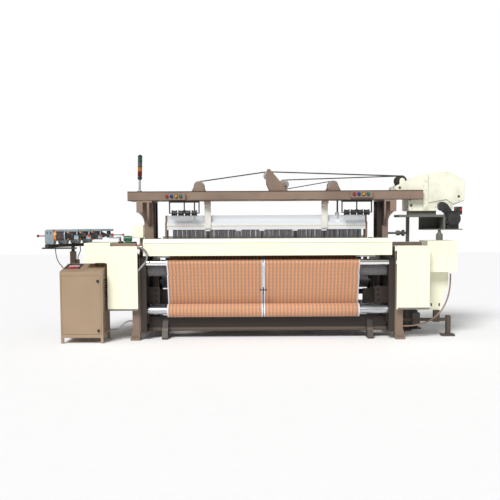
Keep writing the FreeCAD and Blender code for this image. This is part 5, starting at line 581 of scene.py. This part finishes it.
def makeWarpSheet(s):
    path = tautPath(s.sheetPath, step=0.03)
    run = lengthAlong(path)[:, None]
    across = np.linspace(s.left, s.right, s.columns)[None]
    sheet = meshPiece("warpSheet", flat(across, path[:, :1], path[:, 1:]), gridFaces(len(path), s.columns),
        flat(across - s.left, run), smooth=60)
    modify(sheet, "threadThickness", "SOLIDIFY", thickness=s.thick, offset=0)
    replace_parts(place(sheet, "warpThreads"), "warp_sheet")


def makeThreads(s, healds):   # flat threads from the fell and from the stop motion to each frame's eyes
    for number, place_ in enumerate(healds.frames):
        body, lift = (("odd_healds", 0.0), ("even_healds", healds.lift))[number % 2]
        eye = (y(place_), healds.eye + lift)
        start = np.arange(s.left + 0.004 + s.threadPitch / 4 * number, s.right - 0.004, s.threadPitch)
        share = np.linspace(0, 1, s.joints)[:, None]
        for name, begin in (("front", s.fell), ("rear", s.sheetPath[-1][:2])):
            spine = np.array(begin) * (1 - share) + np.array(eye) * share
            ribbon = flat(np.array([[-1, 1]]) * s.threadHalf, spine[:, :1], spine[:, 1:])
            points, faces = repeated(ribbon, gridFaces(s.joints, 2), start)
            group = meshPiece("%sThreads%d" % (name, number + 1), points, faces,
                flat(points[:, 0] - s.left, points[:, 1]))
            place(group, "warpThreads", None)
            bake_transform(group)


warpMaterial(warpSettings)
makeWarpBeam(warpSettings)
makeWarpSheet(warpSettings)
makeThreads(warpSettings, healdSettings)
print("warp: beam, sheet and", 2 * len(healdSettings.frames), "groups of threads")


# ---- rapier tapes and drop cables: each stretches between the machine and what it pulls
tapeSettings = Settings(wheel=1.5, head=(-1.12, 1.04), low=0.9041, high=0.9059, front=y(0.4932),
    back=y(0.5168), parts=24)
dropSettings = Settings(top=1.5177, radius=0.0024, x=0.7468, offset=0.005, hook=1.176, rings=14)


def makeTapes(s):
    for side, name, head in zip((-1, 1), ("left", "right"), s.head):
        across = np.linspace(side * s.wheel, head, s.parts)[:, None]
        points = flat(across, [[s.front, s.back, s.back, s.front]], [[s.low, s.low, s.high, s.high]])
        faces = gridFaces(len(across), 4, wrapCols=True).tolist()
        faces += [[3, 2, 1, 0], [*range(len(points) - 4, len(points))]]
        tape = meshPiece(name + "RapierTape", points, faces, tidy=True)
        place(tape, "blackPlastic", None)
        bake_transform(tape)
        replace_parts(tape, name + "_tape")


def makeDropCables(s, healds):
    for first, body in ((0, "odd"), (1, "even")):
        low = s.hook + healds.lift * first
        heights = np.linspace(s.top, low, s.rings)
        parts = [tubePart(flat(side * s.x, y(place_) + side * s.offset, heights), s.radius, 10)
            for place_ in healds.frames[first::2] for side in (-1, 1)]
        cables = placeParts(body + "DropCables", parts, "cableBlack", None, tidy=False)
        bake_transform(cables)
        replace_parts(cables, body + "_drop_cables")


makeTapes(tapeSettings)
makeDropCables(dropSettings, healdSettings)
print("tapes and drop cables made")


# ---- upper details: signal lamps, button boxes, guides, heald frame trim, heald wires and reed dents
towerSettings = Settings(
    foot=(-1.295, y(0.5), 1.464), lean=(0.03, 0, 1), low=1.583, high=1.839, radius=0.0227,
    cup=0.03, colours=((0.1, 0.006, 0.005), (0.36, 0.13, 0.01), (0.09, 0.085, 0.08), (0.01, 0.09, 0.05)),
)
buttonSettings = Settings(
    face=y(0.428), boxes=((-1.049, 1.376), (0.853, 1.391)), middle=0.03392, first=0.038, pitch=0.047,
    radius=0.0122, deep=0.01,
    colours=((0.45, 0.012, 0.02), (0.012, 0.035, 0.3), (0.62, 0.36, 0.02), (0.012, 0.19, 0.11)),
)
guideSettings = Settings(
    x=(-0.605, 0.605), half=0.033, front=y(0.576), back=y(0.588), low=1.081, top=1.352,
    bolts=((-0.012, 1.335), (0.012, 1.335), (-0.018, 1.3), (0.02, 1.315)),
)
trimSettings = Settings(
    half=0.012, railLow=1.07, railHigh=1.148, lineHigh=0.0045, railHalf=1.03,
    clips=(-0.607, -0.287, -0.046, 0.3, 0.6), braces=(-0.607, -0.046, 0.3, 0.6),
    stay=0.0215, stayEdge=1.0505, stayLow=0.592, stayHigh=1.149, proud=0.0007, inset=0.0012,
    clipHalf=0.028, clipDrop=0.016, clipRise=0.008, braceHalf=0.0055, stagger=0.0016, eyeWide=2.6, zigzag=0.004,
    left=-0.97, right=0.99, pitch=0.0048, wireHalf=0.0011, top=1.072, foot=0.668, eyeHigh=0.014, scatter=0.0021,
)
dentSettings = Settings(left=-0.982, right=0.903, place=y(0.54), low=0.862, top=0.957, pitch=0.0042,
    half=0.0006, deep=0.0042)


def disc(low, high, radius):   # the outline of a short cylinder, from its axis round to its axis
    return [(low, 0), (low, radius), (high, radius), (high, 0)]


def makeTower(s):
    lean = np.array(s.lean, float)
    where = np.array(s.foot) - lean / np.linalg.norm(lean) * s.foot[2]   # places run up the leaning pole
    radius, low, first = s.radius, s.low, s.low + s.cup
    pitch = (s.high - radius * 0.9 - first) / len(s.colours)
    foot, dome = s.foot[2], first + len(s.colours) * pitch

    def level(name, profile, finish, steps=40, smooth=35):
        return placeParts(name, [turned(profile, lean, where, steps)], finish, smooth=smooth)

    level("towerPole", [(foot, 0), (foot, 0.024), (foot + 0.008, 0.024), (foot + 0.009, 0.0115),
            (low + 0.004, 0.0115), (low + 0.004, 0)], "tubeSteel", 32)
    level("towerCup", [(low, 0), (low, radius * 0.75), (low + 0.012, radius), (first, radius), (first, 0)],
        "blackPlastic")
    for number, colour in enumerate(s.colours):
        start, label = first + number * pitch, str(number + 1)
        ripple = np.linspace(start + 0.003, start + pitch - 0.005, 23)
        body = [(start + 0.0005, 0)] + [(z, radius - 0.0011 * (k % 2)) for k, z in enumerate(ripple)]
        glassy("lampGlass" + label, colour, 0.12)
        level("lampLens" + label, body + [(start + pitch - 0.0045, 0)], "lampGlass" + label, smooth=60)
        ring = disc(start + pitch - 0.006, start + pitch + 0.0015, radius + 0.0003)
        level("lampRing" + label, ring, "blackPlastic")
    arc = [(dome + radius * 0.86 * math.sin(t), radius * 0.96 * math.cos(t)) for t in np.linspace(0.15, 1.5, 9)]
    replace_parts(level("towerDome", [(dome, 0), (dome, radius * 0.96)] + arc, "blackPlastic"), "signal_tower")


def makeButtons(s):
    face, r, tip = s.face, s.radius, s.face - s.deep
    cap = [(face + 0.0008, 0), (face + 0.0008, r), (tip + 0.003, r), (tip, r - 0.003), (tip, 0)]
    collar = [(face + 0.0004, r + 0.0002), (face - 0.003, r + 0.0002), (face - 0.003, r + 0.004),
        (face + 0.0004, r + 0.005)]
    for number, colour in enumerate(s.colours):
        glassy("button%d" % (number + 1), colour, 0.25)
    for box, (left, low) in enumerate(s.boxes):
        places = [(left + s.first + k * s.pitch, 0, low + s.middle) for k in range(4)]
        for number, where in enumerate(places):
            placeParts("button%d_%d" % (box + 1, number + 1), [turned(cap, "y", where, 24)],
                "button%d" % (number + 1))
        placeParts("buttonCollars%d" % (box + 1), [turned(collar, "y", where, 24, True) for where in places],
            "blackPlastic")


def makeGuides(s):   # white guides that keep the heald frames apart from the front channel
    placeBoxes("whiteGuides", [((x - s.half, s.front, s.low), (x + s.half, s.back, s.top))
            for x in s.x], "guideWhite", 0.003)
    bolt = disc(s.front + 0.0005, s.front - 0.004, 0.006)
    placeParts("guideBolts", [turned(bolt, "y", (x + dx, 0, z), 6) for x in s.x for dx, z in s.bolts],
        "plainSteel")


def frameTrim(number, body, deep, lift, s):   # brown end stays, clips, braces and a line on the first frame
    front, back, low = deep - s.half - s.proud, deep + s.half + s.proud, s.railLow + lift
    middle = (s.railLow + s.railHigh) / 2 + lift
    stays = [((x, front, s.stayLow + lift - 0.0006), (x + s.stay, back, s.stayHigh + lift))
        for x in (-s.stayEdge, s.stayEdge - s.stay)]
    line = [((-s.railHalf, front - 0.0016, middle - s.lineHigh), (s.railHalf, front + 0.001, middle + s.lineHigh))]
    clips = [((x - s.clipHalf, front + s.inset, low - s.clipDrop),
            (x + s.clipHalf, back - s.inset, low + s.clipRise)) for x in s.clips]
    braces = [((x - s.braceHalf, front + 0.004, s.foot + lift), (x + s.braceHalf, back - 0.004, low))
        for x in s.braces]
    for kind, boxes, finish, round in (("Stays", stays, "beamPaint", 0.002), ("Line", line, "creamNylon", 0),
            ("Clips", clips, "whiteNylon", 0.003), ("Braces", braces, "darkSteel", 0)):
        if kind != "Line" or number == 0:
            placeBoxes("frame%s%d" % (kind, number + 1), boxes, finish, round, body)


def makeHealds(number, body, deep, lift, eye, s):   # flat wires with a widened eye at the shed line
    tall = s.eyeHigh
    heights = np.array([s.foot + lift, eye - tall, eye - tall / 2, eye + tall / 2, eye + tall, s.top + lift])
    widths = s.wireHalf * np.array([1, 1, s.eyeWide, s.eyeWide, 1, 1])[:, None]
    start = np.arange(s.left + s.stagger * number, s.right, s.pitch)
    across = start + rng.normal(0, s.scatter, len(start))
    depth = deep + np.where(np.arange(len(start)) % 2 == 0, -s.zigzag, s.zigzag)
    wires = repeated(flat(widths * [[-1, 1]], 0.0, heights[:, None]), gridFaces(len(heights), 2), across, depth)
    place(meshPiece("healdWires%d" % (number + 1), *wires), "healdWire", body)


def makeDents(s):
    points, faces = boxPart((-s.half, s.place - s.deep, s.low), (s.half, s.place + s.deep, s.top))
    dents = repeated(points, faces, np.arange(s.left, s.right, s.pitch))
    place(meshPiece("reedDents", *dents), "healdWire", "sley")


makeTower(towerSettings)
makeButtons(buttonSettings)
makeGuides(guideSettings)
for frameNumber, frameDeep in enumerate(healdSettings.frames):
    frameBody, frameLift = (("odd_healds", 0.0), ("even_healds", healdSettings.lift))[frameNumber % 2]
    frameTrim(frameNumber, frameBody, y(frameDeep), frameLift, trimSettings)
    makeHealds(frameNumber, frameBody, y(frameDeep), frameLift, healdSettings.eye + frameLift, trimSettings)
makeDents(dentSettings)
print("upper details made")


# ---- weft feeders: housing, orange ring, dark drum, pale front ring, nose, brake unit, arm and red ball
feederSettings = Settings(
    count=4, step=(0.08, 0.175), first=(-2.106, 0.09), axisHigh=1.022, half=0.044, deep=0.046,
    low=0.94, top=1.084, ring=0.052, ringLong=0.02, drum=0.047, drumLong=0.077, rim=0.051,
    rimLong=0.01, noseLong=0.055, brake=0.03, brakeLong=0.026, boxLong=0.04, ballReach=0.375,
    ball=0.0125, rod=0.004, inlet=0.086, armHigh=0.022, armDeep=0.014,
    studs=6, studReach=0.036, studHalf=0.005,
)


def feederPieces(x, deep, s):   # every turned and boxed part of one feeder, kept under its finish
    z, front, tail, near = s.axisHigh, x + s.half, x - s.half, deep - s.deep
    ringEnd = front + s.ringLong
    drumEnd = ringEnd + s.drumLong
    rimEnd = drumEnd + s.rimLong
    noseEnd = rimEnd + s.noseLong
    brakeEnd = noseEnd + s.brakeLong
    drum, rim, brake, arm = s.drum, s.rim, s.brake, s.top - s.armHigh + 0.002
    ballX, inlet, ballEnd = x + s.ballReach, tail - s.inlet, x + s.ballReach - s.ball * 0.9

    def part(profile, steps=40):
        return turned(profile, "x", (0, deep, z), steps)

    # the drum's thread lies in close ribs: r = R - 0.0007*(k mod 2)
    ribs = [(a, drum - 0.0007 * (k % 2)) for k, a in enumerate(np.linspace(ringEnd + 0.008, drumEnd - 0.006, 31))]
    spokes = []
    for turn in circle(s.studs) + 0.3:   # dark studs between the drum's bars, on its front face
        at = np.array([0, deep + s.studReach * math.cos(turn), z + s.studReach * math.sin(turn)])
        spokes.append(boxPart(at + [rimEnd - 0.0005, -s.studHalf, -s.studHalf],
                at + [rimEnd + 0.0015, s.studHalf, s.studHalf]))
    screws = [boxPart((x + a, near - 0.0006, s.top - 0.04), (x + a + 0.012, near + 0.002, s.top - 0.027))
        for a in (-0.024, 0.008)]
    return {
        "orangeRing": [part(disc(front, ringEnd, s.ring), 48)],
        "drumThread": [part([(ringEnd, 0), (ringEnd, drum - 0.002), *ribs, (drumEnd, drum - 0.002),
                (drumEnd, 0)], 48)],
        "feederPale": [part([(drumEnd, 0.03), (drumEnd, rim - 0.002), (drumEnd + 0.002, rim),
                (rimEnd - 0.002, rim), (rimEnd, rim - 0.002), (rimEnd, 0.041), (rimEnd - 0.004, 0.04),
                (rimEnd - 0.004, 0.03)], 48),
            boxPart((brakeEnd + 0.001, deep - 0.018, z - 0.034), (brakeEnd + s.boxLong, deep + 0.018, z + 0.004))],
        "blackPlastic": [part([(rimEnd - 0.005, 0), (rimEnd - 0.005, 0.04), (rimEnd + 0.001, 0.036),
                (rimEnd + 0.012, 0.0288), (noseEnd, 0.012), (noseEnd, 0)]),
            part([(noseEnd, 0), (noseEnd, brake), (brakeEnd - 0.004, brake - 0.003),
                (brakeEnd, brake - 0.008), (brakeEnd, 0)]),
            boxPart((noseEnd, deep - s.armDeep, z), (brakeEnd, deep + s.armDeep, arm)),
            boxPart((brakeEnd + 0.001, deep - 0.017, z + 0.0045),
                (brakeEnd + s.boxLong - 0.001, deep + 0.017, z + 0.014)),
            boxPart((brakeEnd, deep - 0.008, z + 0.01), (brakeEnd + 0.012, deep + 0.008, arm)), *screws,
            part([(inlet, 0.006), (inlet, 0.0105), (inlet + 0.004, 0.012), (inlet + 0.018, 0.012),
                (inlet + 0.018, 0.006)], 24), *spokes],
        "darkSteel": [part(disc(brakeEnd, ballEnd, s.rod), 16), part(disc(tail - 0.02, tail + 0.001, 0.005), 16)],
        "redPlastic": [part([(ballX + s.ball * math.sin(t), s.ball * math.cos(t))
                for t in np.linspace(-1.57, 1.57, 13)], 24),
            part([(inlet + 0.004, 0), (inlet + 0.004, 0.0055), (tail - 0.02, 0.0065), (tail - 0.02, 0)], 20)],
    }


def feederPlace(number, s):
    return s.first[0] + number * s.step[0], y(s.first[1] + number * s.step[1])


def makeFeeders(s):
    gathered, h, low, top = {}, s.half, s.low, s.top
    for number in range(s.count):
        x, deep = feederPlace(number, s)
        for finishName, parts in feederPieces(x, deep, s).items():
            gathered.setdefault(finishName, []).extend(parts)
        outline = [(x - h + 0.01, low), (x + h - 0.01, low), (x + h, low + 0.01), (x + h, top),
            (x - h + 0.016, top), (x - h, top - 0.016), (x - h, low + 0.01)]
        shell = placeParts("feederHousing%d" % (number + 1), [prismPart(outline, deep - s.deep, deep + s.deep)],
            "feederBlue", round=0.005)
        armEnd = x + h + sum(s[name + "Long"] for name in ("ring", "drum", "rim", "nose", "brake", "box"))
        placeBoxes("feederArm%d" % (number + 1), [((x + h - 0.004, deep - s.armDeep, top - s.armHigh),
                    (armEnd, deep + s.armDeep, top))], "feederBlue", 0.003)
        if number == 0:
            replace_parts(shell, "weft_feeders")
    for finishName, parts in gathered.items():
        placeParts("feeders_" + finishName, parts, finishName)


makeFeeders(feederSettings)


# ---- weft selector: tray, finger block and fingers, green motor, cream box, and the threads led to the fingers
selectorSettings = Settings(
    trayLeft=-1.508, trayRight=-1.266, front=y(0.022), back=y(0.132), trayLow=0.92, trayTop=0.936,
    lipTop=0.9488, blockLeft=-1.44, blockRight=-1.4, fingerPitch=0.022, fingerLong=0.052,
    fingerHigh=0.046, fingerThick=0.006, motorLeft=-1.392, motorRight=-1.314, motorRadius=0.027,
    motorDeep=y(0.078), box=((-1.31, y(0.096), 0.998), (-1.207, y(0.2), 1.122)),
    stay=((-1.248, y(0.15), 0.934), (-1.214, y(0.19), 0.998)), threadRadius=0.0009,
)


def makeSelector(s):
    top, front, back, left, right = s.trayTop, s.front, s.back, s.trayLeft, s.trayRight
    placeBoxes("selectorTray", [((left, front, s.trayLow), (right, back, top)),
            ((left, front, top), (right, front + 0.004, s.lipTop))], "framePaint", 0.0015)
    r, a, b, deep = s.motorRadius, s.motorLeft, s.motorRight, s.motorDeep
    placeBoxes("selectorBlock", [((s.blockLeft, front + 0.014, top), (s.blockRight, back - 0.008, top + 0.03)),
            ((s.blockRight, front + 0.03, top), (a + 0.01, back - 0.03, top + 0.018)),
            ((b - 0.01, front + 0.02, top), (right - 0.006, back - 0.02, top + 0.026))],
        "darkSteel", 0.002)
    left, tip, low, high = s.blockLeft, s.blockLeft - s.fingerLong, top + 0.028, top + 0.028 + s.fingerHigh
    outline = [(left + 0.006, low), (left + 0.02, low), (left + 0.014, high), (tip, high - 0.008),
        (tip + 0.002, high - 0.016), (left + 0.004, high - 0.014)]
    places = front + 0.02 + s.fingerPitch * np.arange(4)
    placeParts("selectorFingers", [prismPart(outline, near, near + s.fingerThick) for near in places],
        "plainSteel")
    ribs = []
    for start in a + 0.01 + np.arange(8) * (b - a - 0.022) / 8:
        ribs += [(start, r), (start + 0.004, r), (start + 0.0045, r - 0.0018), (start + 0.0068, r - 0.0018)]
    body = [(a, 0), (a, r - 0.004), (a + 0.004, r), *ribs, (b - 0.004, r), (b, r - 0.004), (b, 0)]
    placeParts("selectorMotor", [turned(body, "x", (0, deep, top + 0.03 + r), 44)], "selectorGreen")
    placeBoxes("selectorMotorFoot", [((a + 0.01, deep - 0.02, top), (b - 0.01, deep + 0.02, top + 0.038))],
        "selectorGreen", 0.002)
    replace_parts(placeBoxes("selectorBox", [s.box], "coverCream", 0.004), "weft_selector")
    placeBoxes("selectorBoxStay", [s.stay], "framePaint")
    threads, f = [], feederSettings
    for number, near in enumerate(places):   # P = ball + t*(tip - ball), a taut thread
        x, ballDeep = feederPlace(number, f)
        path = np.linspace((x + f.ballReach + f.ball * 0.8, ballDeep, f.axisHigh),
            (tip + 0.001, near + s.fingerThick / 2, high - 0.012), 3)
        threads.append(tubePart(path, s.threadRadius, 6))
    placeParts("weftThreads", threads, "cableBlack", tidy=False)


makeSelector(selectorSettings)
print("feeders and selector made")


# ---- sides: cabinet keypad, painted shade in the louvre mouths, cover bands and slots, brown rail, stop button and dobby bolts
padSettings = Settings(topFront=(-0.12, 0.686), topBack=(0.23, 0.745), across=(-1.962, -1.806),
    deep=(-0.02, 0.19), thick=0.003, columns=5,
    rows=("redPlastic", "redPlastic", "redPlastic", "keyWhite", "keyWhite"))
sideSettings = Settings(
    louvres=20, louvreFirst=0.112, louvrePitch=0.026, louvreFace=-1.57, mouth=0.011,
    louvreDeep=(y(-0.066), y(0.178)), bandLow=0.2965, bandTop=0.315, bands=((-1.5452, -1.2525), (1.2525, 1.5602)),
    slots=(1.632, 1.712), slotFace=y(0.25), slotLow=0.299, slotWide=0.014, slotHigh=0.03,
    rail=((1.207, y(0.0615), 0.911), (1.499, y(0.1025), 0.9485)), railGrooves=3, grooveHalf=0.0012,
    fold=(-1.19, 1.19, 0.944, 0.0045), beamSpan=(-1.415, 1.599), edgeHigh=0.008,
    beamEdges=((1.3684, "greasyCast", "Low"), (1.4558, "darkCast", "Top")),
    bolts=((1.492, 1.309), (1.479, 1.372), (1.977, 1.399), (1.372, 1.492)), boltRadius=0.009,
    stopPlace=(1.967, y(0.421), 1.261), stopRadius=0.0139, stopHigh=0.0125,
)


def padPart(u, v, low, high, s):   # u and v run over the keypad, z = z0 + k*(y - y0) + lift on the sloping top
    (left, right), (near, far), (front, z0), (back, z1) = s.across, s.deep, s.topFront, s.topBack
    points, faces = boxPart((left + u[0] * (right - left), near + v[0] * (far - near), s.thick + low),
        (left + u[1] * (right - left), near + v[1] * (far - near), s.thick + high))
    points[:, 2] += z0 + (z1 - z0) / (back - front) * (points[:, 1] - front)
    points[:, 1] = y(points[:, 1])
    return points, faces


def makeKeypad(s):
    keys = {"blackPlastic": [padPart((0.02, 0.98), (0.02, 0.98), -0.001, 0.0012, s)], "keyWhite": [],
        "redPlastic": []}
    for column in range(s.columns):
        left = 0.2 + 0.13 * column
        for row, finishName in enumerate(s.rows):
            low = 0.08 + 0.125 * row
            keys[finishName].append(padPart((left, left + 0.11), (low, low + 0.105), 0.001, 0.0024, s))
    keys["redPlastic"].append(padPart((0.34, 0.62), (0.84, 0.93), 0.001, 0.0022, s))
    for finishName, parts in keys.items():
        placeParts("keypad_" + finishName, parts, finishName, tidy=False)


def frontOf(nodeName, x, z):   # where a line running back from the viewer's side meets a node
    return nodes[nodeName].ray_cast((x, -3.0, z), (0, 1, 0))[1][1]


def makeSides(s):
    face, (near, far) = s.louvreFace, s.louvreDeep
    tops = s.louvreFirst + s.louvrePitch * np.arange(s.louvres)
    # black strips in the cabinet's louvre mouths: painted shade for the dark inside between the louvres, darkening
    # the cabinet's side
    placeBoxes("louvreShadeStrips", [((face - 0.001, near, top - s.mouth), (face + 0.0012, far, top)) for top in tops],
        "blackPlastic")
    placeBoxes("coverBands", [((left, y(-0.0009), s.bandLow), (right, y(0.002), s.bandTop))
            for left, right in s.bands], "bandGrey")
    placeBoxes("coverSlots", [((x, s.slotFace - 0.0008, s.slotLow),
                (x + s.slotWide, s.slotFace + 0.002, s.slotLow + s.slotHigh))
            for x in s.slots], "blackPlastic")
    placeBoxes("brownRail", [s.rail], "railBrown", 0.002)
    (left, near, low), (right, far, top) = s.rail
    heights = low + (top - low) / (s.railGrooves + 1) * np.arange(1, s.railGrooves + 1)
    placeBoxes("railGrooves", [((left + 0.003, near - 0.0006, z - s.grooveHalf),
                (right - 0.003, near + 0.001, z + s.grooveHalf)) for z in heights], "darkCast")
    # thin lines: the breast cover's fold and the rolled edges of the front channel, each laid on the face behind it
    left, right, low, high = s.fold
    face = frontOf("breast_cover", 0.1, low)
    placeBoxes("coverFold", [((left, face - 0.0008, low), (right, face + 0.002, low + high))],
        "foldShade")
    for edge, finishName, label in s.beamEdges:
        face = frontOf("top_beams", 0.1, edge + s.edgeHigh / 2)
        placeBoxes("channel" + label, [((s.beamSpan[0], face - 0.001, edge),
                    (s.beamSpan[1], face + 0.002, edge + s.edgeHigh))], finishName)
    heads, r = [], s.boltRadius
    for x, z in s.bolts:
        face = frontOf("dobby_housing", x, z)
        head = [(face + 0.002, 0), (face + 0.002, r * 1.5), (face - 0.002, r * 1.5), (face - 0.0025, r),
            (face - 0.008, r * 0.9), (face - 0.008, r * 0.5), (face - 0.004, r * 0.5), (face - 0.004, 0)]
        heads.append(turned(head, "y", (x, 0, z), 18))
    placeParts("dobbyBolts", heads, "greasyCast")
    x, far, z = s.stopPlace
    r, near = s.stopRadius, far - s.stopHigh
    cap = [(far - 0.001, 0), (far - 0.001, r), (near + 0.003, r), (near - 0.0005, r - 0.004), (near - 0.0005, 0)]
    placeParts("stopButton", [turned(cap, "y", (x, 0, z), 28)], "redPlastic")


makeKeypad(padSettings)
makeSides(sideSettings)
print("sides made")


# ---- slitter between the two cloths: a bar with a blade holder on a stem, and dashed joining threads above it
slitterSettings = Settings(
    middle=-0.041, place=y(0.072), high=0.487, bar=(0.034, 0.005), stem=(0.006, 0.027), deep=0.01,
    threadTop=0.742, threadFoot=0.515, threadPitch=0.013, threadHalf=0.0052,
    slopeTop=(y(0.0588), 0.752), slopeFoot=(y(0.083), 0.283),
)


def makeSlitter(s):
    x, back, z, front = s.middle, s.place, s.high, s.place - s.deep
    (barHalf, barThick), (stemHalf, stemTall) = s.bar, s.stem
    parts = [((x - barHalf, front, z - barThick), (x + barHalf, back, z + barThick)),
        ((x - stemHalf, front - 0.002, z - stemTall), (x + stemHalf, back, z + stemTall))]
    parts += [((x + at, front - 0.002, z - barThick * 1.6), (x + at + 0.01, back, z + barThick * 1.6))
        for at in (-barHalf, barHalf - 0.01)]
    placeBoxes("slitter", parts, "blackPlastic", 0.0015)
    # joining threads lie on the cloth's slope: y = y0 + k*(z - z0)
    rows = np.arange(s.threadFoot, s.threadTop, s.threadPitch)
    (y0, z0), (y1, z1) = s.slopeTop, s.slopeFoot
    near = y0 + (rows - z0) * (y1 - y0) / (z1 - z0)
    placeBoxes("joiningThreads", [((x - s.threadHalf, deep, z),
                (x + s.threadHalf, deep + 0.0012, z + s.threadPitch * 0.6))
            for deep, z in zip(near, rows)], "whiteNylon")


makeSlitter(slitterSettings)
print("slitter made")


# ---- floor, lights and camera
stageSettings = Settings(
    floorHalf=20.0, floorColour=(0.97, 0.97, 0.97), floorShade=(0.9603, 0.9603, 0.9603),
    skyStrength=0.32, suns=(("keyLight", 3.1, 25, (46, 0, -24)), ("fillLight", 0.1, 40, (62, 0, 40))),
    eye=(-0.168, y(-7.0), 1.13), pitchDown=4.1, roll=0.3, lift=0.052, sensor=36.0, lens=52.5,
)


def makeStage(s):
    half = s.floorHalf
    corners = [(-half, -half, 0), (half, -half, 0), (half, half, 0), (-half, half, 0)]
    floor = meshPiece("floor", corners, [(0, 1, 2, 3)])
    painted("paleFloor", s.floorColour, s.floorShade, 0.9, 6.0, strength=0.0)
    floor.data.materials.append(finishes["paleFloor"])
    world = bpy.data.worlds.new("studio")
    bpy.context.scene.world = world
    world.use_nodes = True
    tree = world.node_tree
    background = tree.nodes["Background"]
    background.inputs["Color"].default_value = (1, 1, 1, 1)
    rays = add(tree, "LightPath")
    seen = worked(tree, "MAXIMUM", rays["Is Camera Ray"], rays["Is Transmission Ray"])
    tree.links.new(worked(tree, "MULTIPLY_ADD", seen, 1 - s.skyStrength, s.skyStrength),
        background.inputs["Strength"])
    for name, strength, width, turn in s.suns:
        lamp = bpy.data.lights.new(name, "SUN")
        lamp.energy = strength
        lamp.angle = math.radians(width)
        newObject(name, lamp).rotation_euler = [math.radians(angle) for angle in turn]


def makeCamera(s):
    lens = bpy.data.cameras.new("camera")
    lens.sensor_width = s.sensor
    lens.lens = s.lens
    lens.clip_end = 100
    lens.shift_y = s.lift
    camera = newObject("camera", lens)
    camera.location = s.eye
    camera.rotation_euler = (math.radians(90 - s.pitchDown), math.radians(s.roll), 0)
    bpy.context.scene.camera = camera


makeStage(stageSettings)
makeCamera(stageSettings)
bpy.context.scene.view_settings.view_transform = "Standard"
print("stage and camera ready")
